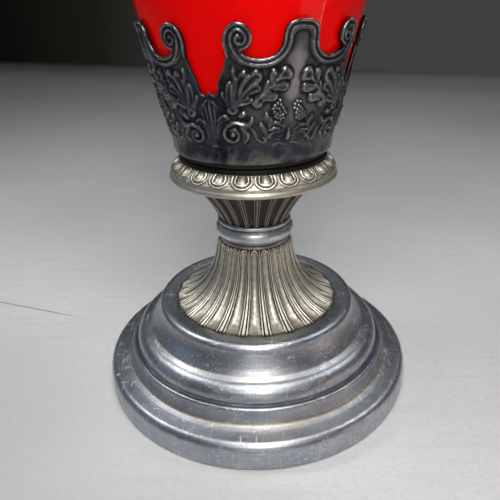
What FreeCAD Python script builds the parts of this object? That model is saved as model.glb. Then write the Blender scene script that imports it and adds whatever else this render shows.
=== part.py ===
import FreeCAD, Part
import os, math
from FreeCAD import Vector as V

# Table sanctuary lamp: a stepped spun foot, a fluted skirt, a turned collar, a
# fluted neck, an egg-and-dart ring, an embossed cup with a scrolled crown edge
# and a ruby glass that holds a cased candle.  The metal pieces are stacked on
# one threaded rod and clamped by a nut at each end.
# Millimetres, +Z up, origin at the centre of the resting face.

# ---------------------------------------------------------------- dimensions
SHEET = 1.5            # spun sheet of the foot
CUP_SHEET = 1.1        # sheet of the cup
GLASS_WALL = 2.8
FLUTES = 23            # flutes on the skirt and on the neck
EGGS = 23              # eggs round the ring
MOTIFS = 4             # crown motifs round the cup
SKIRT_RIB = -99.5      # azimuth of one rib of the skirt (deg)
NECK_RIB = -87.3       # azimuth of one rib of the neck
EGG_ANGLE = -98.3      # azimuth of one egg
NOTCH_ANGLE = -112.5   # azimuth of the first V notch (deg, +X = 0, front = -90)
R_FOOT = 70.0          # outer radius of the foot
Z_LEDGE = 18.5         # seat of the dome on the flange
Z_DOME_TOP = 37.7      # seat of the skirt on the dome
Z_SKIRT_TOP = 67.2
Z_NECK_SEAT = 75.5
Z_RING_SEAT = 96.2
Z_RING_TOP = 106.2
Z_CUP = 107.3          # underside of the cup
Z_CUP_FLOOR = Z_CUP + 1.2
Z_GLASS = 114.5        # underside of the glass
Z_GLASS_TOP = 232.0
R_ROD = 3.0
R_BORE = 3.25          # clearance bore for the rod
R_CANDLE = 24.0
H_CANDLE = 76.0

os.makedirs("parts", exist_ok=True)


# ------------------------------------------------------------------- helpers
def P(r, z):
    return V(r, 0, z)


def edge_chain(items):
    """items: first a point, then ("l", p, p, ...) or ("s", p, p, ...) runs."""
    cur = items[0]
    out = []
    for it in items[1:]:
        pts = [V(cur[0], 0, cur[1])] + [V(p[0], 0, p[1]) for p in it[1:]]
        if it[0] == "l":
            for a, b in zip(pts[:-1], pts[1:]):
                out.append(Part.LineSegment(a, b).toShape())
        else:
            c = Part.BSplineCurve()
            c.interpolate(pts)
            out.append(c.toShape())
        cur = it[-1]
    return out


def revolve(items):
    first = items[0]
    last = items[-1][-1]
    ed = edge_chain(items)
    if abs(first[0] - last[0]) > 1e-9 or abs(first[1] - last[1]) > 1e-9:
        ed.append(Part.LineSegment(P(*last), P(*first)).toShape())
    face = Part.Face(Part.Wire(ed))
    s = face.revolve(V(0, 0, 0), V(0, 0, 1), 360)
    return Part.Solid(s) if s.ShapeType == "Shell" else s


def ring(r0, r1, z0, z1):
    s = Part.makeCylinder(r1, z1 - z0, V(0, 0, z0))
    if r0 > 0:
        s = s.cut(Part.makeCylinder(r0, z1 - z0 + 2, V(0, 0, z0 - 1)))
    return s


def spun(outer, t, close):
    """polyline shell of constant thickness t on the left-hand (inner) side."""
    n = len(outer)
    inn = []
    for i, (r, z) in enumerate(outer):
        a = outer[max(i - 1, 0)]
        b = outer[min(i + 1, n - 1)]
        dx, dz = b[0] - a[0], b[1] - a[1]
        L = math.hypot(dx, dz)
        inn.append((r - t * dz / L, z + t * dx / L) if close > 0 else
                   (r + t * dz / L, z - t * dx / L))
    return inn


def arc(cx, cz, rad, a0, a1, n):
    return [(cx + rad * math.cos(math.radians(a0 + (a1 - a0) * i / (n - 1))),
             cz + rad * math.sin(math.radians(a0 + (a1 - a0) * i / (n - 1))))
            for i in range(n)]


def interp(table, z):
    if z <= table[0][1]:
        return table[0][0]
    for (r0, z0), (r1, z1) in zip(table[:-1], table[1:]):
        if z <= z1:
            return r0 + (r1 - r0) * (z - z0) / (z1 - z0)
    return table[-1][0]


def fluted_loft(rows, flutes, phase, per=8):
    """rows: (radius, z, flute depth); closed smooth sections, lofted."""
    wires = []
    for r, z, d in rows:
        pts = []
        for k in range(flutes * per):
            u = (k % per) / per
            # broad hollow between narrow raised ribs
            h = d * (math.sin(math.pi * u) ** 0.8) if u > 0 else 0.0
            a = math.radians(phase + 360.0 * k / (flutes * per))
            pts.append(V((r - h) * math.cos(a), (r - h) * math.sin(a), z))
        c = Part.BSplineCurve()
        c.interpolate(Points=pts, PeriodicFlag=True)
        wires.append(Part.Wire([c.toShape()]))
    return Part.makeLoft(wires, True, False)


def hexagon(af, z0, z1):
    R = af / math.sqrt(3.0)
    pts = [V(R * math.cos(math.radians(60 * i)), R * math.sin(math.radians(60 * i)), z0) for i in range(7)]
    return Part.Face(Part.makePolygon(pts)).extrude(V(0, 0, z1 - z0))


NODES = {}


def node(name, shape):
    if shape.ShapeType == "Compound" and len(shape.Solids) == 1:
        shape = shape.Solids[0]
    NODES[name] = shape


# ---------------------------------------------------------------------- foot
# flange: near-vertical side, rounded rim, shallow cove, wall and ledge, then
# an inward seat that the dome stands on
fl = [(R_FOOT, 0.0), (R_FOOT, 4.2), (R_FOOT - 0.1, 8.3)] + arc(66.4, 8.4, 3.5, 6, 90, 7) + \
     [(64.0, 12.2), (62.2, 12.6), (61.0, 13.0), (60.1, 14.0), (59.4, 16.0), (58.9, 18.9), (58.2, 19.7), (57.4, 19.7)]
fl_in = [(R_FOOT - SHEET, 0.0), (R_FOOT - SHEET, 4.2), (R_FOOT - SHEET, 8.3)] + arc(66.4, 8.4, 2.0, 6, 90, 7) + \
        [(64.0, 10.7), (61.8, 11.1), (60.0, 11.9), (58.7, 13.6), (57.9, 15.6), (57.3, 17.0)]
foot_flange = revolve([fl[0], ("l",) + tuple(fl[1:]), ("l", (56.5, Z_LEDGE), (48.0, Z_LEDGE), (48.0, 17.0)),
                       ("l",) + tuple(reversed(fl_in))])
node("foot_flange", foot_flange)

# dome: bell, cove, bead shoulder, flat ring and the plate under the skirt
dm = [(56.25, Z_LEDGE)] + arc(50.35, 20.54, 6.0, 0, 78, 8) + [(49.4, 27.6), (47.6, 29.6), (46.3, 31.6), (45.2, 33.5),
      (44.7, 35.0), (44.55, 36.3), (43.9, 37.4), (42.6, 38.1), (41.0, 38.2), (39.0, 38.0), (37.4, 37.9), (37.25, Z_DOME_TOP)]
dm_in = [(54.7, Z_LEDGE)] + arc(50.35, 20.54, 4.5, 0, 78, 8) + [(48.3, 26.4), (46.2, 28.9), (44.9, 31.1), (43.8, 33.0),
         (43.2, 34.6), (43.0, 35.6), (42.2, 36.3), (40.0, 36.3)]
foot_dome = revolve([dm[0], ("l",) + tuple(dm[1:]), ("l", (R_BORE, Z_DOME_TOP), (R_BORE, Z_DOME_TOP - 1.4), (38.0, Z_DOME_TOP - 1.4)),
                     ("l",) + tuple(reversed(dm_in))])
node("foot_dome", foot_dome)

# ballast: cast disc with a raised rim that bears on the underside of the seat
base_weight = revolve([(R_BORE, 9.2), ("l", (13.0, 9.2), (13.0, 2.0), (64.0, 2.0), (64.0, 9.4), (56.3, 9.4), (56.3, 17.0),
                                       (49.5, 17.0), (49.0, 10.5), (16.0, 12.0), (R_BORE, 12.0))])
node("base_weight", base_weight)
node("base_felt", ring(0, 67.9, 0.0, 2.0))
node("base_washer", ring(R_BORE, 9.0, 8.0, 9.2))
node("base_nut", hexagon(10.0, 3.2, 8.0).cut(Part.makeCylinder(R_ROD, 10, V(0, 0, 0))))
node("tie_rod", Part.makeCylinder(R_ROD, 112.4 - 2.6, V(0, 0, 2.6)))

# ------------------------------------------------------------- fluted skirt
SK = [(37.0, 37.7), (34.2, 38.6), (31.0, 40.0), (28.4, 41.6), (26.0, 43.5), (22.0, 48.0), (19.9, 51.8), (18.6, 55.0),
      (17.3, 60.0), (16.6, 64.2), (16.4, 65.2)]
rows = [(r, z, dd) for (r, z), dd in zip(SK, (1.1, 1.4, 1.5, 1.5, 1.4, 1.2, 1.0, 0.9, 0.8, 0.6, 0.1))]
skirt = fluted_loft(rows, FLUTES, SKIRT_RIB)
inner = revolve([(0, 37.0), ("l", (33.2, 37.0), (33.2, 37.9), (28.0, 39.4), (24.6, 41.6), (21.6, 44.6), (18.6, 48.6),
                             (16.6, 53.0), (15.2, 58.0), (14.6, 62.5), (0, 62.5))])
skirt = skirt.cut(inner)
skirt = skirt.fuse(revolve([(0, 64.8), ("l", (15.9, 64.8), (15.9, 65.6), (15.2, 66.3), (15.2, Z_SKIRT_TOP), (0, Z_SKIRT_TOP))]))
skirt = skirt.cut(Part.makeCylinder(R_BORE, 40, V(0, 0, 50)))
node("fluted_skirt", skirt)

# --------------------------------------------------------------- collar ring
collar = revolve([(R_BORE, Z_SKIRT_TOP), ("l", (13.0, Z_SKIRT_TOP), (13.0, 68.1), (14.9, 68.1)),
                  ("s", (16.2, 69.0), (16.85, 70.6), (16.5, 72.2), (15.9, 73.0)),
                  ("l", (15.45, 73.3), (15.55, 73.7)),
                  ("s", (16.05, 74.4), (16.15, 75.6), (15.7, 76.7)),
                  ("l", (15.2, 76.8), (14.75, Z_NECK_SEAT), (R_BORE, Z_NECK_SEAT))])
node("collar_ring", collar)

# --------------------------------------------------------------- fluted neck
NK = [(14.2, Z_NECK_SEAT), (15.0, 77.0), (15.8, 78.7), (16.9, 81.1), (18.4, 83.6), (20.4, 86.8), (22.8, 90.0), (25.4, 93.2),
      (27.4, Z_RING_SEAT)]
rows = [(r, z, dd) for (r, z), dd in zip(NK, (0.2, 0.6, 0.8, 0.9, 1.0, 1.1, 1.1, 1.0, 0.6))]
neck = fluted_loft(rows, FLUTES, NECK_RIB)
neck = neck.cut(revolve([(0, 79.5), ("l", (12.6, 79.5), (13.8, 82.0), (15.6, 85.2), (18.0, 88.8), (20.6, 92.2), (23.2, 95.4), (23.6, 97.5), (0, 97.5))]))
neck = neck.cut(Part.makeCylinder(R_BORE, 30, V(0, 0, 70)))
node("fluted_neck", neck)

# --------------------------------------------------------- egg-and-dart ring
er = revolve([(R_BORE, 102.6), ("l", (18.0, 102.6), (21.0, Z_RING_SEAT), (33.4, Z_RING_SEAT), (34.2, 95.7)),
              ("s", (34.75, 95.9), (34.9, 96.8), (34.5, 98.0)),
              ("l", (34.0, 98.2)),
              ("s", (33.9, 100.0), (33.2, 102.4), (32.0, 104.4), (30.9, 105.6)),
              ("l", (30.2, Z_RING_TOP), (R_BORE, Z_RING_TOP))])
eggs = []
for k in range(EGGS):
    s = Part.makeSphere(1.0)
    m = FreeCAD.Matrix()
    m.scale(1.1, 1.75, 2.4)
    s = s.transformGeometry(m)
    s.rotate(V(0, 0, 0), V(0, 1, 0), -25)
    s.translate(V(32.75, 0, 101.5))
    s.rotate(V(0, 0, 0), V(0, 0, 1), EGG_ANGLE + 360.0 * k / EGGS)
    eggs.append(s)
er = er.fuse(eggs)
node("egg_dart_ring", er)
node("cup_gasket", ring(R_BORE, 30.2, Z_RING_TOP, Z_CUP))

# ----------------------------------------------------------------------- cup
CUP = [(30.4, 107.3), (31.4, 107.7), (31.9, 108.6), (32.1, 111.0), (32.6, 113.8), (33.4, 117.0), (34.4, 121.0), (35.2, 125.0),
       (36.0, 129.0), (36.9, 133.4), (37.8, 137.5), (38.6, 141.0), (39.6, 145.0), (40.75, 150.0), (41.45, 153.0), (42.0, 155.0)]
cup_in = [(r - CUP_SHEET, z) for r, z in CUP[3:]]
cup = revolve([(R_BORE, Z_CUP), ("l", CUP[0], CUP[1], CUP[2]), ("s",) + tuple(CUP[3:]),
               ("l", (42.0 - CUP_SHEET, 155.0)), ("s",) + tuple(reversed(cup_in[:-1])),
               ("l", (30.5, 109.3), (29.7, Z_CUP_FLOOR), (R_BORE, Z_CUP_FLOOR))])


def radial_cut(pts, azimuth):
    """pts (offset, z) in the tangent plane; prism pushed outward along the azimuth"""
    w = Part.makePolygon([V(20.0, x, z) for x, z in pts] + [V(20.0, pts[0][0], pts[0][1])])
    b = Part.Face(w).extrude(V(30, 0, 0))
    b.rotate(V(0, 0, 0), V(0, 0, 1), azimuth)
    return b


NOTCH = [(0.0, 134.6), (1.1, 133.0), (2.3, 134.2), (5.0, 139.0), (7.1, 143.0), (6.6, 145.5), (6.5, 148.0), (7.2, 151.0),
         (9.0, 153.4), (11.4, 154.6), (11.6, 160.0)]
NOTCH = NOTCH + [(-x, z) for x, z in reversed(NOTCH[1:])]
# dip: offsets from the arch centre (half of it; the other is mirrored)
DIP = [(5.4, 154.4), (5.9, 151.5), (5.6, 149.0), (6.6, 146.8), (9.0, 144.8), (12.0, 143.4), (14.4, 143.1), (16.4, 144.4),
       (17.2, 146.4), (16.3, 147.4), (15.4, 149.0), (15.3, 151.0), (16.2, 153.0), (18.2, 154.4), (18.4, 160.0), (2.0, 160.0), (3.6, 155.2)]
cuts = []
for k in range(MOTIFS):
    a = NOTCH_ANGLE + 360.0 * k / MOTIFS
    cuts.append(radial_cut(NOTCH, a))
    arch = a + 45.0
    cuts.append(radial_cut(DIP, arch))
    cuts.append(radial_cut([(-x, z) for x, z in reversed(DIP)], arch))
cup = cup.cut(cuts)
node("crown_cup", cup)
node("cup_washer", ring(R_BORE, 8.0, Z_CUP_FLOOR, Z_CUP_FLOOR + 1.0))
node("cup_nut", hexagon(10.0, Z_CUP_FLOOR + 1.0, Z_CUP_FLOOR + 4.2).cut(Part.makeCylinder(R_ROD, 10, V(0, 0, 106))))
node("cork_seat", ring(14.0, 28.6, Z_CUP_FLOOR, Z_GLASS))

# --------------------------------------------------------------------- glass
GL = [(28.7, 116.9), (30.2, 119.0), (31.6, 122.0), (33.2, 127.0), (35.0, 133.0), (36.0, 137.0), (36.7, 140.0), (37.95, 145.0),
      (39.2, 150.0), (40.45, 155.0), (41.7, 160.0), (42.8, 165.0), (45.75, 180.0), (49.3, 200.0), (52.6, 220.0), (54.1, 230.0)]
gi = [(r - GLASS_WALL, z) for r, z in GL if z > 121.5]
glass = revolve([(0, Z_GLASS + 1.6), ("l", (15.0, Z_GLASS + 0.9), (18.0, Z_GLASS), (25.5, Z_GLASS)),
                 ("s", (27.6, 115.3), GL[0]), ("s",) + tuple(GL[1:]),
                 ("s", (54.0, 231.4), (52.9, Z_GLASS_TOP), (51.7, 231.5), (GL[-1][0] - GLASS_WALL, 230.0)),
                 ("s",) + tuple(reversed(gi[:-1])),
                 ("s", (27.4, 119.9), (26.0, 119.5)), ("l", (0, 119.5))])
node("ruby_glass", glass)

# -------------------------------------------------------------------- candle
zc = 119.5
case = revolve([(0, zc), ("l", (22.8, zc), (R_CANDLE, zc + 1.2), (R_CANDLE, zc + H_CANDLE - 1.0), (R_CANDLE + 0.9, zc + H_CANDLE - 0.6),
                               (R_CANDLE + 0.9, zc + H_CANDLE), (R_CANDLE - 1.0, zc + H_CANDLE), (R_CANDLE - 1.0, zc + 1.0), (0, zc + 1.0))])
node("candle_case", case)
zw = zc + H_CANDLE - 8.0
sust = ring(0, 9.0, zc + 1.0, zc + 1.5).fuse(Part.makeCylinder(2.2, 6.0, V(0, 0, zc + 1.2)))
sust = sust.cut(Part.makeCylinder(1.2, 20, V(0, 0, zc)))
node("wick_sustainer", sust)
wick = Part.makeCylinder(1.2, zw + 9.0 - (zc + 1.0), V(0, 0, zc + 1.0))
node("wick", wick)
wax = revolve([(0, zc + 1.0), ("l", (R_CANDLE - 1.0, zc + 1.0), (R_CANDLE - 1.0, zw + 0.8)),
               ("s", (R_CANDLE - 3.5, zw), (10.0, zw - 0.4), (0.0, zw - 0.9))])
wax = wax.cut(sust).cut(wick)
node("candle_wax", wax)

for name, s in NODES.items():
    ok = s.isValid()
    print("%-16s %-9s solids %d valid %s vol %.1f mm3 z %.2f..%.2f r %.2f" % (
        name, s.ShapeType, len(s.Solids), ok, s.Volume, s.BoundBox.ZMin, s.BoundBox.ZMax, s.BoundBox.XMax))
    s.exportStep("parts/%s.step" % name)
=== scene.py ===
import bpy, math
import numpy as np
from mathutils import Matrix, Vector


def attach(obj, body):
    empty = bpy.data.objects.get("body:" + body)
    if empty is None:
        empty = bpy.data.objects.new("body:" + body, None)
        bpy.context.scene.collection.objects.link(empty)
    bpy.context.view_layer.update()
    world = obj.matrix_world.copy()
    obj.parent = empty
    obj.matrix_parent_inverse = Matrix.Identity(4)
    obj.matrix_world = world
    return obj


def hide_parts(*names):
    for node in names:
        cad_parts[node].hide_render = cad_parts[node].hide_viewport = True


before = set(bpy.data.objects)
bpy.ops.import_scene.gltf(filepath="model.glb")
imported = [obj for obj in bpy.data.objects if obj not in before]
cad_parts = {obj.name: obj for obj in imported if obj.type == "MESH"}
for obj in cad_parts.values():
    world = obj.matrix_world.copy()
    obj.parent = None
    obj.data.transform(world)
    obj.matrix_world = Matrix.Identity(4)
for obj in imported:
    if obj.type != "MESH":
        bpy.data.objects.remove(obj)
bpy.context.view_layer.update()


MM = 0.001
scene = bpy.context.scene
RNG = np.random.RandomState(7)

# ------------------------------------------------------------------ dimensions
FLUTES = 23
EGGS = 23
SKIRT_RIB = -99.5
NECK_RIB = -87.3
EGG_ANGLE = -98.3
NOTCH_ANGLE = -112.5
MOTIFS = 4
RU = 37.0                     # radius at which the cup's ornament is laid out


# ------------------------------------------------------------------ mesh tools
def make_mesh(name, V, loops, starts, attrs=None, sharp=None):
    me = bpy.data.meshes.new(name)
    V = np.asarray(V, np.float32) * MM
    me.vertices.add(len(V))
    me.vertices.foreach_set("co", V.ravel())
    me.loops.add(len(loops))
    me.loops.foreach_set("vertex_index", np.asarray(loops, np.int32))
    me.polygons.add(len(starts))
    me.polygons.foreach_set("loop_start", np.asarray(starts, np.int32))
    me.update(calc_edges=True)
    me.validate()
    me.polygons.foreach_set("use_smooth", np.ones(len(me.polygons), bool))
    for k, a in (attrs or {}).items():
        at = me.attributes.new(k, "FLOAT", "POINT")
        at.data.foreach_set("value", np.asarray(a, np.float32))
    me.update()
    ob = bpy.data.objects.new(name, me)
    scene.collection.objects.link(ob)
    return ob


def quads_object(name, V, Q, attrs=None):
    Q = np.asarray(Q, np.int32)
    return make_mesh(name, V, Q.ravel(), np.arange(len(Q)) * 4, attrs)


def fan_add(faces, centre, ring, flip):
    n = len(ring)
    for j in range(n):
        a, b = ring[j], ring[(j + 1) % n]
        faces.append((centre, b, a) if flip else (centre, a, b))


def surf_of_rev(name, R, Z, ncol, closed_profile=True, attrs=None, phase=0.0):
    """R, Z: (rows, ncol) arrays in mm (or 1-D rows). Rows run so that outward is right."""
    R = np.asarray(R, float)
    Z = np.asarray(Z, float)
    if R.ndim == 1:
        R = np.repeat(R[:, None], ncol, 1)
    if Z.ndim == 1:
        Z = np.repeat(Z[:, None], ncol, 1)
    n = R.shape[0]
    a = np.radians(phase) + np.arange(ncol) / ncol * 2 * np.pi
    pole0 = R[0].max() < 1e-6
    pole1 = R[-1].max() < 1e-6
    X = R * np.cos(a)
    Y = R * np.sin(a)
    V = np.stack([X, Y, Z], -1).reshape(-1, 3)
    ids = np.arange(n * ncol).reshape(n, ncol)
    rows = [ids[i] for i in range(n)]
    att = {k: np.asarray(v, float) for k, v in (attrs or {}).items()}
    for k in att:
        if att[k].ndim == 1:
            att[k] = np.repeat(att[k][:, None], ncol, 1)
    i0, i1 = (1 if pole0 else 0), (n - 1 if pole1 else n)
    Q = []
    for i in range(i0, i1 - 1):
        A, B = rows[i], rows[i + 1]
        Q.append(np.stack([A, np.roll(A, -1), np.roll(B, -1), B], -1))
    if closed_profile and not pole0 and not pole1:
        A, B = rows[-1], rows[0]
        Q.append(np.stack([A, np.roll(A, -1), np.roll(B, -1), B], -1))
    Q = np.concatenate(Q)
    loops = list(Q.ravel())
    starts = list(np.arange(len(Q)) * 4)
    keep = np.ones(len(V), bool)
    if pole0:
        keep[rows[0][1:]] = False
        c = rows[0][0]
        for j in range(ncol):
            starts.append(len(loops))
            loops += [c, rows[1][(j + 1) % ncol], rows[1][j]]
    if pole1:
        keep[rows[-1][1:]] = False
        c = rows[-1][0]
        for j in range(ncol):
            starts.append(len(loops))
            loops += [c, rows[-2][j], rows[-2][(j + 1) % ncol]]
    new = np.cumsum(keep) - 1
    loops = new[np.asarray(loops)]
    V = V[keep]
    att = {k: v.reshape(-1)[keep] for k, v in att.items()}
    return make_mesh(name, V, loops, starts, att)


def gsmooth(x, sig):
    if sig <= 0:
        return x
    k = int(3 * sig) + 1
    w = np.exp(-0.5 * (np.arange(-k, k + 1) / sig) ** 2)
    w /= w.sum()
    xp = np.concatenate([2 * x[0] - x[k:0:-1], x, 2 * x[-1] - x[-2:-k - 2:-1]])
    return np.convolve(xp, w, "valid")


def profile(pts, step=0.3, soft=0.35):
    """resample a polyline and soften its corners; ends stay where they are"""
    p = np.array(pts, float)
    d = np.r_[0, np.cumsum(np.hypot(*np.diff(p, axis=0).T))]
    n = max(8, int(d[-1] / (step * 0.5)))
    s = np.linspace(0, d[-1], n)
    r = gsmooth(np.interp(s, d, p[:, 0]), soft / (d[-1] / n))
    z = gsmooth(np.interp(s, d, p[:, 1]), soft / (d[-1] / n))
    r[0], z[0], r[-1], z[-1] = p[0, 0], p[0, 1], p[-1, 0], p[-1, 1]
    m = max(6, int(d[-1] / step))
    t = np.linspace(0, n - 1, m)
    r = np.interp(t, np.arange(n), r)
    z = np.interp(t, np.arange(n), z)
    return np.stack([r, z], -1)


def profile_cavity(p, sig=3.0):
    """signed bend of a profile: >0 in hollows, <0 on crests (outward is right of travel)"""
    d = np.diff(p, axis=0)
    a = np.unwrap(np.arctan2(d[:, 1], d[:, 0]))
    k = np.zeros(len(p))
    k[1:-1] = -np.diff(a)
    L = np.hypot(*d.T).mean()
    return gsmooth(k / L, sig)


def arc(cx, cz, rad, a0, a1, n):
    t = np.radians(np.linspace(a0, a1, n))
    return [(cx + rad * math.cos(x), cz + rad * math.sin(x)) for x in t]


def spline(pts, n=None, closed=False):
    """Catmull-Rom through 2-D points"""
    p = np.array(pts, float)
    q = np.vstack([2 * p[0] - p[1], p, 2 * p[-1] - p[-2]])
    out = []
    m = n or 6
    for i in range(1, len(q) - 2):
        t = np.linspace(0, 1, m, endpoint=False)[:, None]
        a, b, c, d = q[i - 1], q[i], q[i + 1], q[i + 2]
        out.append(0.5 * ((2 * b) + (-a + c) * t + (2 * a - 5 * b + 4 * c - d) * t ** 2 + (-a + 3 * b - 3 * c + d) * t ** 3))
    out.append(p[-1:])
    return np.vstack(out)


# ------------------------------------------------------------------- materials
def mat_new(name):
    m = bpy.data.materials.new(name)
    m.use_nodes = True
    nt = m.node_tree
    bsdf = nt.nodes["Principled BSDF"]
    return m, nt, bsdf


class G:
    """small helper to write node graphs"""

    def __init__(self, nt):
        self.nt = nt

    def node(self, kind, **kw):
        n = self.nt.nodes.new(kind)
        for k, v in kw.items():
            setattr(n, k, v)
        return n

    def link(self, a, b):
        self.nt.links.new(a, b)

    def coord(self, scale=(1, 1, 1)):
        tc = self.node("ShaderNodeTexCoord")
        mp = self.node("ShaderNodeMapping")
        mp.inputs["Scale"].default_value = scale
        self.link(tc.outputs["Object"], mp.inputs["Vector"])
        return mp.outputs["Vector"]

    def noise(self, vec, scale, detail=4.0, rough=0.55, dist=0.0):
        n = self.node("ShaderNodeTexNoise")
        n.inputs["Scale"].default_value = scale
        n.inputs["Detail"].default_value = detail
        n.inputs["Roughness"].default_value = rough
        n.inputs["Distortion"].default_value = dist
        self.link(vec, n.inputs["Vector"])
        return n.outputs["Fac"]

    def voronoi(self, vec, scale, feature="F1", rand=1.0):
        n = self.node("ShaderNodeTexVoronoi", feature=feature)
        n.inputs["Scale"].default_value = scale
        n.inputs["Randomness"].default_value = rand
        self.link(vec, n.inputs["Vector"])
        return n.outputs["Distance"]

    def ramp(self, fac, stops):
        n = self.node("ShaderNodeValToRGB")
        el = n.color_ramp.elements
        while len(el) < len(stops):
            el.new(0.5)
        for e, (p, c) in zip(el, stops):
            e.position = p
            e.color = (c, c, c, 1) if isinstance(c, (int, float)) else (*c, 1)
        self.link(fac, n.inputs["Fac"])
        return n.outputs["Color"]

    def attr(self, name):
        n = self.node("ShaderNodeAttribute")
        n.attribute_name = name
        return n.outputs["Fac"]

    def math(self, op, a, b=0.0, clamp=False):
        n = self.node("ShaderNodeMath", operation=op, use_clamp=clamp)
        for i, v in enumerate((a, b)):
            if isinstance(v, (int, float)):
                n.inputs[i].default_value = v
            else:
                self.link(v, n.inputs[i])
        return n.outputs[0]

    def mix(self, fac, a, b, kind="MIX"):
        n = self.node("ShaderNodeMix", data_type="RGBA", blend_type=kind)
        n.clamp_factor = True
        ins = [s for s in n.inputs if s.enabled]
        fa, A, B = n.inputs[0], n.inputs[6], n.inputs[7]
        for s, v in ((fa, fac), (A, a), (B, b)):
            if isinstance(v, (int, float)):
                s.default_value = v if s is fa else (v, v, v, 1)
            elif isinstance(v, tuple):
                s.default_value = (*v, 1)
            else:
                self.link(v, s)
        return n.outputs[2]

    def remap(self, v, a, b, c, d):
        n = self.node("ShaderNodeMapRange")
        n.clamp = True
        n.inputs["From Min"].default_value = a
        n.inputs["From Max"].default_value = b
        n.inputs["To Min"].default_value = c
        n.inputs["To Max"].default_value = d
        self.link(v, n.inputs["Value"])
        return n.outputs[0]

    def bump(self, h, strength, dist, prev=None):
        n = self.node("ShaderNodeBump")
        n.inputs["Strength"].default_value = strength
        n.inputs["Distance"].default_value = dist
        self.link(h, n.inputs["Height"])
        if prev is not None:
            self.link(prev, n.inputs["Normal"])
        return n.outputs["Normal"]


def scratches(g, rot, stretch, scale, lo, hi):
    """thin straight marks: noise drawn out along one direction"""
    tc = g.node("ShaderNodeTexCoord")
    mp = g.node("ShaderNodeMapping")
    mp.inputs["Rotation"].default_value = rot
    mp.inputs["Scale"].default_value = stretch
    g.link(tc.outputs["Object"], mp.inputs["Vector"])
    n = g.noise(mp.outputs["Vector"], scale, 2.0, 0.5)
    return g.remap(n, lo, hi, 0.0, 1.0)


def satin_aluminium(name="satin_aluminium", warm=1.0, ro=(0.315, 0.435), t0=(0.325, 0.36, 0.415), t1=(0.472, 0.486, 0.508)):
    m, nt, b = mat_new(name)
    g = G(nt)
    v = g.coord()
    b.inputs["Metallic"].default_value = 1.0
    cav = g.attr("cav")
    big = g.noise(v, 45.0, 4.0, 0.6)
    mid = g.noise(v, 260.0, 5.0, 0.65)
    fine = g.noise(v, 1500.0, 4.0, 0.7)
    cells = g.voronoi(v, 1500.0)
    patch = g.remap(g.noise(v, 75.0, 3.0, 0.6), 0.40, 0.60, 0.15, 1.0)
    specks = g.math("MULTIPLY", g.remap(cells, 0.14, 0.26, 1.0, 0.0), patch)
    s1 = scratches(g, (0.3, 0.2, 0.6), (1, 0.06, 1), 1300.0, 0.60, 0.68)
    s2 = scratches(g, (1.1, -0.4, -0.5), (0.05, 1, 1), 1100.0, 0.61, 0.69)
    s3 = scratches(g, (0.0, 0.0, 0.0), (1, 1, 0.04), 1500.0, 0.60, 0.72)
    marks = g.math("MAXIMUM", g.math("MAXIMUM", s1, s2), specks)
    marks = g.math("MAXIMUM", g.math("MULTIPLY", marks, patch), g.math("MULTIPLY", s3, 0.5), True)
    tone = g.mix(g.remap(big, 0.35, 0.65, 0.0, 1.0), t0, t1)
    tone = g.mix(g.remap(mid, 0.42, 0.66, 0.0, 0.55), tone, (0.27, 0.295, 0.345))
    pits = g.voronoi(v, 1900.0)
    tone = g.mix(g.math("MULTIPLY", g.remap(pits, 0.16, 0.28, 0.65, 0.0), g.remap(big, 0.42, 0.60, 0.2, 1.0)), tone, (0.20, 0.215, 0.25))
    warmf = g.math("MULTIPLY", g.remap(cav, 0.02, 0.30, 0.0, 0.85 * warm), g.remap(big, 0.3, 0.6, 0.6, 1.0))
    tone = g.mix(warmf, tone, (0.44, 0.40, 0.34))
    tone = g.mix(g.remap(cav, 0.45, 1.2, 0.0, 0.9), tone, (0.09, 0.085, 0.08))
    tone = g.mix(g.math("MULTIPLY", marks, 0.66), tone, (0.90, 0.92, 0.95))
    g.link(tone, b.inputs["Base Color"])
    rg = g.remap(mid, 0.3, 0.7, ro[0], ro[1])
    rg = g.math("ADD", rg, g.remap(cav, 0.0, 0.5, 0.0, 0.10))
    rg = g.math("ADD", rg, g.remap(marks, 0.0, 1.0, 0.0, 0.16), True)
    g.link(rg, b.inputs["Roughness"])
    n1 = g.bump(fine, 0.12, 0.00008)
    n2 = g.bump(marks, 0.22, 0.00006, n1)
    g.link(n2, b.inputs["Normal"])
    return m


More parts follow.
